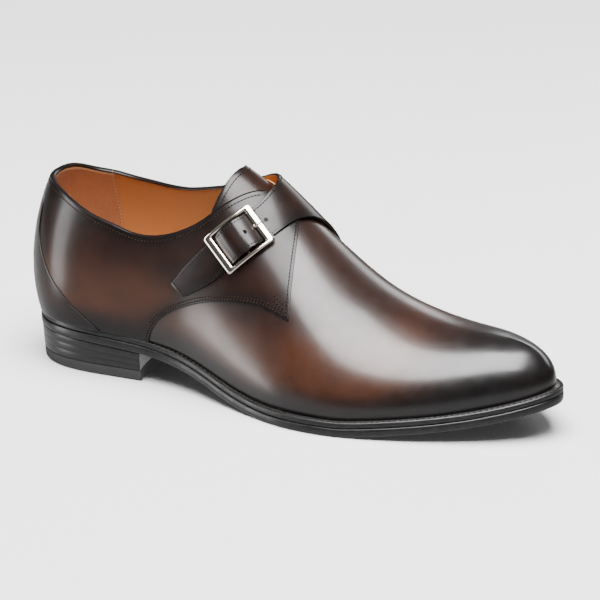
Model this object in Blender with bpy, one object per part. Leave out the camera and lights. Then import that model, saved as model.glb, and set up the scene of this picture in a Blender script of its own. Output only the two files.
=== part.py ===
"""Right monk strap shoe, built as the pieces that a shoemaker puts together.

The last (the foot form) is one surface.  A station runs from 0 at the back of the heel
to 14 at the tip of the toe, and height runs from the feather line (0), where the upper
meets the welt, to the ridge of the instep (1).  Every leather piece is cut from that
surface.  Lengths are in millimetres until a mesh is made, with x from the heel to the toe,
y towards the inner side of the foot and z up.
"""

import math

import bmesh
import bpy
import numpy as np

MM = 0.001
COLLECTION = "monk_strap_shoe"

# ---------------------------------------------------------------- driving dimensions, mm
OUTSOLE_LENGTH = 300.0
SHOE_CENTRE = (148.6, -2.0)   # middle of the whole shoe, which leans back past its sole
GAP = 0.3                     # between two pieces that touch
OUTSOLE_THICKNESS = 4.6
WELT_THICKNESS = 3.0
WELT_UNDER_UPPER = 3.0        # how far the welt runs in beneath the upper
UPPER_WALL = 2.0
TONGUE_THICKNESS = 1.8
STRAP_THICKNESS = 1.6
INSOLE_THICKNESS = 2.8
TOP_PIECE_THICKNESS = 6.0
HEEL_BREAST_X = 73.5
HEEL_BREAST_HOLLOW = 4.0      # how far the breast curves in at its middle
HEEL_INSETS = (1.8, 1.4, 0.5)  # heel inside the outsole's edge: floor, joint of lifts, top
WELT_INSET = 0.2
RAND_INSET = 0.7
RAND_END = 3.9                # station where the heel rand stops
WELT_START = 4.0              # and where the welt begins
STATIONS = 14
UPPER_ROWS = 14               # rows of faces from the feather line to the ridge

# Outline of the outsole, from the back of the heel to the toe, outer and inner side.
OUTER_EDGE = [(0, 0), (7, -20), (24, -31.5), (48, -33.5), (74, -32), (98, -33.5), (122, -40.3),
              (146, -47.8), (170, -53.6), (196, -53), (222, -46.5), (248, -37.2), (272, -26),
              (290, -14.5), (300, 1.5)]
INNER_EDGE = [(0, 0), (7, 20), (24, 31.5), (48, 33), (74, 29.5), (98, 26.5), (122, 28.5),
              (146, 35), (170, 43), (196, 48.5), (222, 49.7), (248, 45), (272, 35),
              (290, 20.5), (300, 1.5)]

# Underside of the outsole: heel seat, arch, ball and toe spring, as (x, height).
TREAD = [(0, 19.5), (40, 18.3), (73, 16.1), (95, 13), (115, 8.3), (135, 2.9), (155, 0.2),
         (175, -0.2), (195, -0.1), (220, 2.2), (245, 5.6), (270, 10.2), (300, 18)]

# Sections of the last, one row a station: how far the feather line lies inside the
# outsole's edge (outer, inner side), the ridge point (x, y, z), how far the wall swells out
# (outer, inner), how high the swell sits (share of the height) and how broad the top is
# (share of the half width, outer and inner).
SECTIONS = [
    (2.5, 2.5, 33.5, 0.0, 125.0, 12.0, 12.0, 0.42, 0.42, 0.63, 0.63),
    (2.5, 2.5, 37.0, 0.0, 125.0, 11.3, 11.3, 0.42, 0.42, 0.63, 0.63),
    (2.5, 2.5, 45.0, 0.0, 125.5, 10.5, 10.5, 0.42, 0.42, 0.64, 0.64),
    (2.5, 2.5, 60.0, 0.0, 127.0, 9.5, 9.5, 0.42, 0.42, 0.70, 0.70),
    (3.0, 2.5, 78.0, 0.0, 127.5, 8.5, 9.5, 0.41, 0.42, 0.75, 0.75),
    (3.5, 2.5, 98.0, 1.0, 125.5, 7.0, 9.5, 0.40, 0.42, 0.74, 0.72),
    (4.0, 3.0, 120.0, 2.0, 118.0, 6.0, 9.0, 0.38, 0.42, 0.62, 0.60),
    (4.5, 4.0, 144.0, 3.0, 102.5, 6.0, 8.0, 0.36, 0.42, 0.52, 0.54),
    (5.0, 4.5, 169.0, 3.0, 83.0, 5.0, 6.0, 0.35, 0.40, 0.50, 0.55),
    (5.0, 5.0, 194.0, 3.0, 64.0, 4.5, 4.5, 0.38, 0.40, 0.52, 0.56),
    (5.0, 5.0, 218.0, 3.0, 53.0, 4.0, 4.0, 0.42, 0.42, 0.55, 0.58),
    (5.0, 5.0, 240.0, 2.0, 48.5, 3.5, 3.5, 0.48, 0.48, 0.58, 0.60),
    (5.5, 5.5, 257.0, 2.0, 47.5, 3.0, 3.0, 0.55, 0.55, 0.60, 0.60),
    (5.5, 5.5, 267.0, 1.7, 46.8, 2.5, 2.5, 0.56, 0.56, 0.60, 0.60),
    (6.0, 6.0, 271.0, 1.5, 46.5, 2.5, 2.5, 0.56, 0.56, 0.60, 0.60),
]

# Collar line on the last, as (station, height), from the back seam to the throat.
THROAT = 6.85
OUTER_COLLAR = [(0, 0.567), (1.2, 0.56), (2.3, 0.511), (3.2, 0.453), (4.2, 0.425), (4.9, 0.476),
                (5.5, 0.577), (6.1, 0.742), (6.5, 0.866), (THROAT, 1.0)]
INNER_COLLAR = [(0, 0.567), (1.2, 0.552), (2.1, 0.519), (3.0, 0.487), (3.8, 0.483), (4.6, 0.526),
                (5.4, 0.62), (6.1, 0.77), (6.5, 0.88), (THROAT, 1.0)]

# The strap's two edges, as (station, across): across runs from -1 at the outer feather
# line over the ridge (0) to +1 at the inner one.  Both start at the free tip.
STRAP_UPPER_EDGE = [(4.86, -0.718), (5.22, -0.624), (5.61, -0.526), (6.11, -0.385), (6.4, -0.29),
                    (6.6, -0.19), (6.68, -0.08), (6.62, 0.03), (6.4, 0.14), (6.1, 0.24),
                    (5.85, 0.34)]
STRAP_LOWER_EDGE = [(5.18, -0.747), (5.65, -0.672), (6.15, -0.565), (6.71, -0.404), (6.94, -0.327),
                    (7.15, -0.235), (7.35, -0.11), (7.53, 0.0), (7.66, 0.11), (7.76, 0.23),
                    (7.83, 0.34)]
STRAP_HUMP = 4.8              # rise of the strap over the buckle's bar
HUMP_FLAT = 2.0               # half length of the hump's top
HUMP_END = 10.5               # distance from the bar where the strap lies flat again
STRAP_LOOP = 2.2              # how far the strap's upper edge stands off the ridge
LOOP_SPREAD = 0.22            # how far across the ridge that loop reaches

TONGUE_TOP = 6.0              # station of the tongue's free edge on the ridge
TONGUE_TOP_LEAN = 1.2         # how much nearer the heel that edge runs at the sides
TONGUE_ROOT = 8.1
TONGUE_HALF_WIDTH = 0.52
TONGUE_INSET = 0.8            # gap between the tongue and the curved upper around it

# Buckle: its middle on the last, its turn from the line of stations, and its size.
BUCKLE_STATION = 6.38
BUCKLE_HEIGHT = 0.592
BUCKLE_TURN = math.radians(76.4)
BUCKLE_LENGTH = 30.4
BUCKLE_WIDTH = 24.0
BUCKLE_END_BAR = 4.2
BUCKLE_SIDE_BAR = 2.2
BUCKLE_CORNER = 1.6
BUCKLE_THICKNESS = 2.6
BUCKLE_BEND_RADIUS = 50.0
BUCKLE_STANDOFF = 4.9         # underside of the frame above the last
BAR_RADIUS = 0.8
BAR_STANDOFF = 4.5            # middle of the bar above the last
PRONG_RADIUS = 0.55
PRONG_REST = 7.25             # middle of the prong above the last, in its notch
PRONG_TIP = 14.2              # distance of the prong's tip from the bar
PRONG_HOLE = (2.6, 8.4)       # where the strap's hole begins and ends, from the bar
PRONG_HOLE_WIDTH = 2.4
TAB_WIDTH = 12.0
TAB_THICKNESS = 0.8
TAB_SLOT = 3.2
TAB_LEG = 7.5
TAB_LIFT = 2.75               # middle of the tab's leg above the last


# ---------------------------------------------------------------- curves
def open_spline(places, values, level_ends=False):
    """A smooth curve through values at places; its ends are free, or level."""
    places = np.asarray(places, float)
    values = np.asarray(values, float).reshape(len(places), -1)
    count = len(places)
    step = np.diff(places)
    matrix = np.eye(count)
    right = np.zeros_like(values)
    slope = np.diff(values, axis=0) / step[:, None]
    for i in range(1, count - 1):
        matrix[i, i - 1:i + 2] = step[i - 1], 2 * (step[i - 1] + step[i]), step[i]
        right[i] = 6 * (slope[i] - slope[i - 1])
    if level_ends:
        matrix[0, :2] = 2 * step[0], step[0]
        matrix[-1, -2:] = step[-1], 2 * step[-1]
        right[0] = 6 * slope[0]
        right[-1] = -6 * slope[-1]
    bend = np.linalg.solve(matrix, right)

    def curve(at):
        at = np.atleast_1d(np.asarray(at, float))
        i = np.clip(np.searchsorted(places, at) - 1, 0, count - 2)
        t = (at - places[i])[:, None]
        h = step[i][:, None]
        start = slope[i] - h * (2 * bend[i] + bend[i + 1]) / 6
        return values[i] + start * t + bend[i] / 2 * t ** 2 + (bend[i + 1] - bend[i]) / (6 * h) * t ** 3

    return curve


def closed_spline(points):
    """A smooth closed curve through points, one unit of its parameter a point.

    It returns two functions: the curve and its direction."""
    points = np.asarray(points, float)
    count = len(points)
    matrix = 4 * np.eye(count) + np.roll(np.eye(count), 1, 0) + np.roll(np.eye(count), -1, 0)
    right = 6 * (np.roll(points, -1, 0) - 2 * points + np.roll(points, 1, 0))
    bend = np.linalg.solve(matrix, right)

    def parts(at):
        at = np.atleast_1d(np.asarray(at, float)) % count
        i = np.floor(at).astype(int) % count
        j = (i + 1) % count
        start = points[j] - points[i] - (2 * bend[i] + bend[j]) / 6
        return points[i], start, bend[i], bend[j] - bend[i], (at - np.floor(at))[:, None]

    def curve(at):
        point, start, first, change, t = parts(at)
        return point + start * t + first / 2 * t ** 2 + change / 6 * t ** 3

    def direction(at):
        _, start, first, change, t = parts(at)
        return start + first * t + change * t ** 2 / 2

    return curve, direction


OUTLINE, OUTLINE_DIRECTION = closed_spline(OUTER_EDGE + INNER_EDGE[-2:0:-1])
TREAD_CURVE = open_spline([x for x, _ in TREAD], [z for _, z in TREAD])
SECTION_CURVE = open_spline(range(STATIONS + 1), SECTIONS, level_ends=True)


# ---------------------------------------------------------------- the last
def tread(x):
    """Height of the outsole's underside; the ball of the foot is a flat spot on the floor."""
    x = np.asarray(x, float)
    height = TREAD_CURVE(np.clip(x.ravel(), 0, OUTSOLE_LENGTH))[:, 0].reshape(x.shape)
    return np.maximum(height, 0.0)


def outsole_top(x):
    return tread(x) + OUTSOLE_THICKNESS


def feather(x):
    """Height of the feather line, just above the welt."""
    return outsole_top(x) + WELT_THICKNESS + 2 * GAP


def edge(side, station, inset):
    """Points (x, y) at stations of the outsole's outline, moved in by inset.

    side is -1 for the outer side of the foot and 1 for the inner one."""
    station = np.atleast_1d(np.asarray(station, float))
    along = station if side < 0 else 2 * STATIONS - station
    direction = OUTLINE_DIRECTION(along)
    direction /= np.linalg.norm(direction, axis=1)[:, None]
    inward = np.stack([-direction[:, 1], direction[:, 0]], 1)
    return OUTLINE(along) + inward * np.reshape(inset, (-1, 1))


def feather_inset(side, station):
    return SECTION_CURVE(station)[:, 0 if side < 0 else 1]


def last_point(side, station, height):
    """Points of the last: a section is a cubic arch from the feather line to the ridge."""
    row = SECTION_CURVE(station)
    column = 0 if side < 0 else 1
    base = edge(side, station, row[:, column])
    base = np.column_stack([base, feather(base[:, 0])])
    ridge = row[:, 2:5]
    swell, swell_height, breadth = (row[:, [c + column]] for c in (5, 7, 9))
    ahead = SECTION_CURVE(np.minimum(station + 0.001, STATIONS))[:, 2:5]
    behind = SECTION_CURVE(np.maximum(station - 0.001, 0))[:, 2:5]
    fall = ((ahead - behind)[:, 2] / np.maximum((ahead - behind)[:, 0], 1e-9))[:, None]
    across = ridge[:, :2] - base[:, :2]
    width = np.linalg.norm(across, axis=1)[:, None]
    across /= width
    low = base + np.hstack([-across * swell, swell_height * (ridge - base)[:, 2:]])
    high = ridge - np.hstack([across, fall * across[:, :1]]) * breadth * width
    v = height[:, None]
    u = 1 - v
    return u ** 3 * base + 3 * u ** 2 * v * low + 3 * u * v ** 2 * high + v ** 3 * ridge


def on_last(side, station, height, offset=0.0):
    """Points at station and height, moved out from the last by offset."""
    station, height, offset = np.broadcast_arrays(*np.atleast_1d(station, height, offset))
    shape = station.shape
    k, v, off = (np.asarray(a, float).ravel() for a in (station, height, offset))
    small = 0.001
    points = last_point(side, k, v)
    along = (last_point(side, np.minimum(k + small, STATIONS), v)
             - last_point(side, np.maximum(k - small, 0), v))
    upward = (last_point(side, k, np.minimum(v + small, 1))
              - last_point(side, k, np.maximum(v - small, 0)))
    normal = -side * np.cross(along, upward)
    normal /= np.maximum(np.linalg.norm(normal, axis=1), 1e-12)[:, None]
    return (points + normal * off[:, None]).reshape(shape + (3,))


def over_ridge(station, across, offset=0.0):
    """Points on the last where across runs from -1 over the ridge (0) to +1."""
    outer = on_last(-1, station, np.minimum(1 + across, 1), offset)
    inner = on_last(1, station, np.minimum(1 - across, 1), offset)
    return np.where((np.asarray(across) < 0)[..., None], outer, inner)


# ---------------------------------------------------------------- meshes
def to_world(points):
    """Millimetres from the heel to metres from the middle of the shoe."""
    return (np.asarray(points) - (*SHOE_CENTRE, 0)) * MM


def object_from(name, bm):
    mesh = bpy.data.meshes.new(name)
    bm.to_mesh(mesh)
    bm.free()
    mesh.shade_smooth()
    mesh.set_sharp_from_angle(angle=math.radians(35))
    return bpy.data.objects.new(name, mesh)


def wall_between(name, under, over, ring=False, joined=None):
    """A closed solid between two grids of points of the same shape.

    ring closes the grid on itself along its first axis.  joined tells, for each row of a
    ring, whether its last point lies on a seam where two rows meet, so no rim is wanted."""
    rows, columns = under.shape[:2]
    bm = bmesh.new()
    low, high = ([[bm.verts.new(p) for p in row] for row in to_world(grid)] for grid in (under, over))
    row_pairs = [(i, (i + 1) % rows) for i in range(rows if ring else rows - 1)]
    for i, n in row_pairs:
        for j in range(columns - 1):
            bm.faces.new((low[i][j], low[n][j], low[n][j + 1], low[i][j + 1]))
            bm.faces.new((high[i][j], high[i][j + 1], high[n][j + 1], high[n][j]))
        bm.faces.new((low[i][0], high[i][0], high[n][0], low[n][0]))
        if joined is None or not (joined[i] and joined[n]):
            bm.faces.new((low[i][-1], low[n][-1], high[n][-1], high[i][-1]))
    for i in () if ring else (0, rows - 1):
        for j in range(columns - 1):
            rim = (low[i][j], low[i][j + 1], high[i][j + 1], high[i][j])
            bm.faces.new(rim if i == 0 else rim[::-1])
    bmesh.ops.remove_doubles(bm, verts=bm.verts, dist=2e-6)
    bmesh.ops.dissolve_degenerate(bm, edges=bm.edges, dist=1e-7)
    bmesh.ops.triangulate(bm, faces=bm.faces)
    bmesh.ops.recalc_face_normals(bm, faces=bm.faces)
    return object_from(name, bm)


def eased(start, end, count):
    """Stations from start to end, closer together near the round ends of the shoe."""
    share = np.linspace(0, 1, 201)
    whole = STATIONS * (0.6 * share + 0.4 * (1 - np.cos(math.pi * share)) / 2)
    first, last = np.interp((start, end), whole, share)
    return np.interp(np.linspace(first, last, count), share, whole)


def slab(name, stations, inset, bottom, top, columns=3):
    """A solid across the whole width: its edges follow the outline, moved in by inset."""
    outer, inner = (edge(side, stations, inset(side, stations)) for side in (-1, 1))
    share = np.linspace(0, 1, columns)[None, :, None]
    plan = outer[:, None] * (1 - share) + inner[:, None] * share
    return wall_between(name, np.dstack([plan, bottom(plan)]), np.dstack([plan, top(plan)]))


def ribbon(name, stations_by_side, outer_inset, inner_inset, ring=False):
    """A strip that lies on the outsole's rim, between two insets from the outline."""
    lines = [[edge(side, stations, inset(side, stations)) for side, stations in stations_by_side]
             for inset in (outer_inset, inner_inset)]
    plan = np.stack([np.concatenate(line) for line in lines], 1)
    bottom = outsole_top(plan[..., 0]) + GAP
    return wall_between(name, np.dstack([plan, bottom]), np.dstack([plan, bottom + WELT_THICKNESS]), ring)


# ---------------------------------------------------------------- bottom of the shoe
def make_outsole():
    return slab("outsole", eased(0, STATIONS, 60), lambda side, k: 0 * k,
                lambda plan: tread(plan[..., 0]), lambda plan: outsole_top(plan[..., 0]))


def heel_layer(name, low_inset, high_inset, bottom, top):
    """A lift of the heel: it tapers downwards, and its breast is hollow."""
    station = np.interp(HEEL_BREAST_X, [x for x, _ in OUTER_EDGE], range(STATIONS + 1))
    stations = eased(0, station, 16)
    share = np.linspace(0, 1, 9)
    hollow = HEEL_BREAST_HOLLOW * (1 - (2 * share - 1) ** 2)
    grids = []
    for inset, height in ((low_inset, bottom), (high_inset, top)):
        outer, inner = (edge(side, stations, inset + 0 * stations)[:, None] for side in (-1, 1))
        plan = outer * (1 - share[:, None]) + inner * share[:, None]
        plan[..., 0] -= hollow * (plan[..., 0] / HEEL_BREAST_X) ** 3
        grids.append(np.dstack([plan, height(plan[..., 0])]))
    return wall_between(name, *grids)


def make_heel():
    joint = TOP_PIECE_THICKNESS
    low, middle, high = HEEL_INSETS
    return [
        heel_layer("heel_top_piece", low, middle, lambda x: 0 * x, lambda x: joint + 0 * x),
        heel_layer("heel_stack", middle, high, lambda x: joint + GAP + 0 * x, lambda x: tread(x) - GAP),
    ]


def under_upper(side, station):
    return feather_inset(side, station) + WELT_UNDER_UPPER


def make_welt():
    """The welt runs round the forepart, from one side of the heel to the other."""
    stations = eased(WELT_START, STATIONS, 46)
    sides = [(-1, stations), (1, stations[-2::-1])]
    return ribbon("welt", sides, lambda side, k: WELT_INSET + 0 * k, under_upper)


def make_rand():
    """The rand carries the welt's line round the back of the heel."""
    stations = eased(0, RAND_END, 18)
    sides = [(1, stations[::-1]), (-1, stations[1:])]
    return ribbon("heel_rand", sides, lambda side, k: RAND_INSET + 0 * k, under_upper)


def make_insole():
    return slab("insole", eased(0.12, STATIONS - 0.25, 44),
                lambda side, k: under_upper(side, k) + GAP,
                lambda plan: outsole_top(plan[..., 0]) + GAP,
                lambda plan: outsole_top(plan[..., 0]) + GAP + INSOLE_THICKNESS, columns=5)


# ---------------------------------------------------------------- upper
def collar_height(side, station):
    """Height of the upper's top edge: the collar, and the ridge in front of the throat."""
    points = OUTER_COLLAR if side < 0 else INNER_COLLAR
    height = open_spline(*zip(*points))(np.minimum(station, THROAT))[:, 0]
    return np.where(station < THROAT, np.minimum(height, 1.0), 1.0)


def make_upper():
    """Vamp and quarters: one wall over the last, open at the collar and underneath."""
    stations = np.unique(np.concatenate([eased(0, STATIONS, 46), [THROAT]]))
    step = np.linspace(0, 1, UPPER_ROWS)
    share = step + 0.45 * step * (1 - step)
    grids = []
    for offset in (0.0, UPPER_WALL):
        sides = []
        for side in (-1, 1):
            height = collar_height(side, stations)[:, None] * share
            wall = on_last(side, stations[:, None], height, offset)
            wall[:, 0, 2] = feather(wall[:, 0, 0])
            wall[[0, -1], :, 1] = [[SECTIONS[0][3]], [SECTIONS[-1][3]]]
            sides.append(wall)
        outer, inner = sides
        ahead = stations >= THROAT
        ridge = (outer[ahead, -1] + inner[ahead, -1]) / 2
        ridge[-1] = (*SECTIONS[-1][2:4], SECTIONS[-1][4] + offset)
        outer[ahead, -1] = inner[ahead, -1] = ridge
        inner[[0, -1]] = outer[[0, -1]]
        grids.append(np.concatenate([outer, inner[-2:0:-1]]))
    joined = np.concatenate([ahead, ahead[-2:0:-1]])
    return wall_between("upper", *grids, ring=True, joined=joined)


def make_tongue():
    """The tongue lies just inside the upper, with its free edge above the throat."""
    across = np.linspace(-TONGUE_HALF_WIDTH, TONGUE_HALF_WIDTH, 23)
    top = TONGUE_TOP - TONGUE_TOP_LEAN * np.abs(across) ** 1.1
    share = np.linspace(0, 1, 14)[:, None]
    station = top * (1 - share) + TONGUE_ROOT * share
    across = across[None, :] + 0 * station
    under = over_ridge(station, across, -TONGUE_INSET - TONGUE_THICKNESS)
    over = over_ridge(station, across, -TONGUE_INSET)
    return wall_between("tongue", under, over)


def strap_rise(place, share):
    """Rise of the strap: a hump over the buckle's bar, and a loop at the ridge."""
    middle, strap_way, _, _ = buckle_axes()
    centre = place[:, place.shape[1] // 2]
    from_bar = (over_ridge(centre[:, 0], centre[:, 1]) - middle) @ strap_way
    fall = np.clip((np.abs(from_bar) - HUMP_FLAT) / (HUMP_END - HUMP_FLAT), 0, 1)
    hump = STRAP_HUMP * (1 - fall ** 2 * (3 - 2 * fall))
    loop = STRAP_LOOP * np.exp(-(place[..., 1] / LOOP_SPREAD) ** 2) * (1 - share)
    return hump[:, None] + loop


def strap_grid(offset, rows=52, columns=9):
    """Points over the strap, from its tip over the instep to its root on the inner side."""
    along = np.linspace(0, 1, rows)
    upper, lower = (open_spline(np.linspace(0, 1, len(line)), line)(along)
                    for line in (STRAP_UPPER_EDGE, STRAP_LOWER_EDGE))
    share = np.linspace(0, 1, columns)[None, :]
    place = upper[:, None] * (1 - share[..., None]) + lower[:, None] * share[..., None]
    lift = UPPER_WALL + GAP + strap_rise(place, share)
    return over_ridge(place[..., 0], place[..., 1], lift + offset)


def make_strap(parts, cutters):
    """The inner quarter's strap, with the hole that the prong comes through."""
    strap = wall_between("strap", strap_grid(0.0), strap_grid(STRAP_THICKNESS))
    half = PRONG_HOLE_WIDTH / 2
    hole = block("strap_hole", PRONG_HOLE, (-half, half), (UPPER_WALL, 3 * STRAP_HUMP))
    parts.objects.link(strap)
    cutters.objects.link(hole)
    boolean(strap, hole, "DIFFERENCE")
    return strap


# ---------------------------------------------------------------- buckle
def buckle_axes():
    """The buckle's middle on the last, and its axes: along the strap, across it, and out."""
    small = 0.01
    k, v = BUCKLE_STATION, BUCKLE_HEIGHT
    middle = on_last(-1, k, v)[0]
    along = on_last(-1, k + small, v)[0] - on_last(-1, k - small, v)[0]
    upward = on_last(-1, k, v + small)[0] - on_last(-1, k, v - small)[0]
    out = np.cross(along, upward)
    out /= np.linalg.norm(out)
    along /= np.linalg.norm(along)
    upward = np.cross(out, along)
    strap_way = along * math.cos(BUCKLE_TURN) + upward * math.sin(BUCKLE_TURN)
    return middle, strap_way, np.cross(out, strap_way), out


def on_buckle(points):
    """From the buckle's own axes to the shoe's; the frame is bent round the instep."""
    middle, strap_way, across, out = buckle_axes()
    x, y, z = np.moveaxis(np.asarray(points, float), -1, 0)
    z = z - x ** 2 / (2 * BUCKLE_BEND_RADIUS)
    return middle + x[..., None] * strap_way + y[..., None] * across + z[..., None] * out


def rounded_rectangle(length, width, radius, corner_steps=5, side_steps=6):
    """Points round a rectangle with round corners, the same number on every side."""
    points = []
    for turn in range(4):
        half = (length / 2, width / 2) if turn % 2 == 0 else (width / 2, length / 2)
        corner = [(half[0] - radius + radius * math.cos(a), half[1] - radius + radius * math.sin(a))
                  for a in np.linspace(0, math.pi / 2, corner_steps)]
        run = half[0] - radius
        side = [(run - 2 * run * s / side_steps, half[1]) for s in range(1, side_steps)]
        c, s = ((1, 0), (0, 1), (-1, 0), (0, -1))[turn]
        points += [(c * x - s * y, s * x + c * y) for x, y in corner + side]
    return np.array(points)


def boolean(target, cutter, operation):
    """Join cutter to target, or cut it away, and leave one plain mesh."""
    modifier = target.modifiers.new(operation, "BOOLEAN")
    modifier.operation = operation
    modifier.solver = "EXACT"
    modifier.object = cutter
    bpy.context.view_layer.update()
    mesh = bpy.data.meshes.new_from_object(target.evaluated_get(bpy.context.evaluated_depsgraph_get()))
    target.modifiers.clear()
    target.data = mesh


def block(name, x_range, y_range, z_range):
    """A box in the buckle's axes, bent with the frame."""
    x, z = np.meshgrid(np.linspace(*x_range, 5), z_range, indexing="ij")
    ends = [on_buckle(np.dstack([x, np.full(x.shape, y), z])) for y in y_range]
    return wall_between(name, *ends)


def rod(name, radius, points):
    """A round wire along points."""
    curve = bpy.data.curves.new(name, "CURVE")
    curve.dimensions = "3D"
    curve.bevel_depth = radius * MM
    curve.bevel_resolution = 3
    curve.use_fill_caps = True
    spline = curve.splines.new("POLY")
    spline.points.add(len(points) - 1)
    for point, place in zip(spline.points, to_world(points)):
        point.co = (*place, 1)
    wire = bpy.data.objects.new(name, curve)
    graph = bpy.context.evaluated_depsgraph_get()
    bpy.context.scene.collection.objects.link(wire)
    bpy.context.view_layer.update()
    graph.update()
    mesh = bpy.data.meshes.new_from_object(wire.evaluated_get(graph))
    bpy.data.objects.remove(wire, do_unlink=True)
    bm = bmesh.new()
    bm.from_mesh(mesh)
    bmesh.ops.remove_doubles(bm, verts=bm.verts, dist=1e-6)
    bmesh.ops.triangulate(bm, faces=bm.faces)
    return object_from(name, bm)


def make_frame(parts, cutters):
    """A bent frame, broad at its ends, with a bar across and a notch for the prong's tip."""
    outer = rounded_rectangle(BUCKLE_LENGTH, BUCKLE_WIDTH, BUCKLE_CORNER)
    inner = rounded_rectangle(BUCKLE_LENGTH - 2 * BUCKLE_END_BAR, BUCKLE_WIDTH - 2 * BUCKLE_SIDE_BAR, 0.5)
    plan = np.stack([inner, outer], 1)
    top = BUCKLE_STANDOFF + BUCKLE_THICKNESS
    grids = [on_buckle(np.dstack([plan, np.full(plan.shape[:2], height)]))
             for height in (BUCKLE_STANDOFF, top)]
    frame = wall_between("buckle_frame", *grids, ring=True)
    reach = (BUCKLE_WIDTH - BUCKLE_SIDE_BAR) / 2
    bar = rod("buckle_bar", BAR_RADIUS, on_buckle([(0, -reach, BAR_STANDOFF), (0, reach, BAR_STANDOFF)]))
    half = PRONG_RADIUS + GAP
    end = BUCKLE_LENGTH / 2
    notch = block("prong_notch", (end - BUCKLE_END_BAR - 1, PRONG_TIP + 2 * GAP), (-half, half),
                  (PRONG_REST - half, top + 1))
    parts.objects.link(frame)
    cutters.objects.link(bar)
    cutters.objects.link(notch)
    boolean(frame, bar, "UNION")
    boolean(frame, notch, "DIFFERENCE")
    return frame


def make_prong():
    """The prong curls round the bar, comes up through the strap and rests in the notch."""
    curl = BAR_RADIUS + GAP + PRONG_RADIUS
    turns = [math.radians(a) for a in range(-60, -271, -21)]
    path = [(curl * math.cos(a), 0, BAR_STANDOFF + curl * math.sin(a)) for a in turns]
    run = BUCKLE_LENGTH / 2 - BUCKLE_END_BAR
    top = path[-1][2]
    path += [(run * s, 0, top + (PRONG_REST - top) * s ** 2) for s in (0.25, 0.5, 0.75, 1)]
    path.append((PRONG_TIP, 0, PRONG_REST))
    return rod("buckle_prong", PRONG_RADIUS, on_buckle(path))


def make_tab(parts, cutters):
    """A leather tab: it lies on the quarter under the strap and wraps the buckle's bar."""
    wrap = BAR_RADIUS + GAP + TAB_THICKNESS / 2
    path = [(x, TAB_LIFT) for x in np.linspace(-TAB_LEG, -wrap, 4)]
    for a in np.radians(range(-80, 201, 20)):
        path.append((wrap * math.cos(a), BAR_STANDOFF + wrap * math.sin(a)))
    path = np.array(path)
    way = np.gradient(path, axis=0)
    way /= np.linalg.norm(way, axis=1)[:, None]
    aside = np.stack([-way[:, 1], way[:, 0]], 1) * TAB_THICKNESS / 2
    across = np.linspace(-TAB_WIDTH / 2, TAB_WIDTH / 2, 4)
    grids = []
    for line in (path - aside, path + aside):
        x, y = np.meshgrid(line[:, 0], across, indexing="ij")
        z = np.repeat(line[:, 1:], len(across), 1)
        grids.append(on_buckle(np.dstack([x, y, z])))
    tab = wall_between("buckle_tab", *grids)
    half = TAB_SLOT / 2
    slot = block("tab_slot", (-2 * wrap, 2 * wrap), (-half, half), (UPPER_WALL, 2 * BAR_STANDOFF))
    parts.objects.link(tab)
    cutters.objects.link(slot)
    boolean(tab, slot, "DIFFERENCE")
    return tab


# ---------------------------------------------------------------- materials
def paint(piece, name, colour, roughness, metallic=0.0):
    material = bpy.data.materials.get(name) or bpy.data.materials.new(name)
    material.use_nodes = True
    shader = material.node_tree.nodes["Principled BSDF"]
    shader.inputs["Base Color"].default_value = (*colour, 1)
    shader.inputs["Roughness"].default_value = roughness
    shader.inputs["Metallic"].default_value = metallic
    piece.data.materials.clear()
    piece.data.materials.append(material)


FINISHES = {
    "brown_calf": ((0.075, 0.028, 0.018), 0.3, 0.0),
    "tan_lining": ((0.42, 0.17, 0.05), 0.6, 0.0),
    "black_edge": ((0.012, 0.011, 0.012), 0.35, 0.0),
    "black_rubber": ((0.02, 0.02, 0.021), 0.55, 0.0),
    "polished_steel": ((0.78, 0.74, 0.68), 0.12, 1.0),
}
FINISH_OF = {
    "upper": "brown_calf", "tongue": "brown_calf", "strap": "brown_calf", "buckle_tab": "brown_calf",
    "insole": "tan_lining", "outsole": "black_edge", "welt": "black_edge", "heel_rand": "black_edge",
    "heel_stack": "black_edge", "heel_top_piece": "black_rubber", "buckle_frame": "polished_steel",
    "buckle_prong": "polished_steel",
}


def main():
    for old in list(bpy.data.objects):
        bpy.data.objects.remove(old, do_unlink=True)
    parts = bpy.data.collections.new(COLLECTION)
    cutters = bpy.data.collections.new("cutters")
    for collection in (parts, cutters):
        bpy.context.scene.collection.children.link(collection)
    for piece in [make_outsole(), *make_heel(), make_welt(), make_rand(), make_insole(), make_upper(),
                  make_tongue(), make_prong()]:
        parts.objects.link(piece)
    make_strap(parts, cutters)
    make_frame(parts, cutters)
    make_tab(parts, cutters)
    for piece in parts.objects:
        paint(piece, FINISH_OF[piece.name], *FINISHES[FINISH_OF[piece.name]])
    for cutter in cutters.objects:
        cutter.hide_render = True
        cutter.display_type = "WIRE"


main()
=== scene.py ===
"""Right monk strap shoe: lined leather upper, welted sole, stacked heel and square buckle.

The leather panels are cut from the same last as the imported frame.  On the last a station
runs from 0 at the back of the heel to 14 at the toe, and across runs from -1 at the outer
welt over the ridge of the instep (0) to 1 at the inner welt.  Shapes are worked out in
millimetres from the back of the heel, and to_world turns them into the frame's metres.
"""

import math

import bmesh
import bpy
import numpy as np
from bpy.props import FloatProperty, FloatVectorProperty, PointerProperty
from mathutils import Matrix, Vector
from mathutils.kdtree import KDTree


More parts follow.
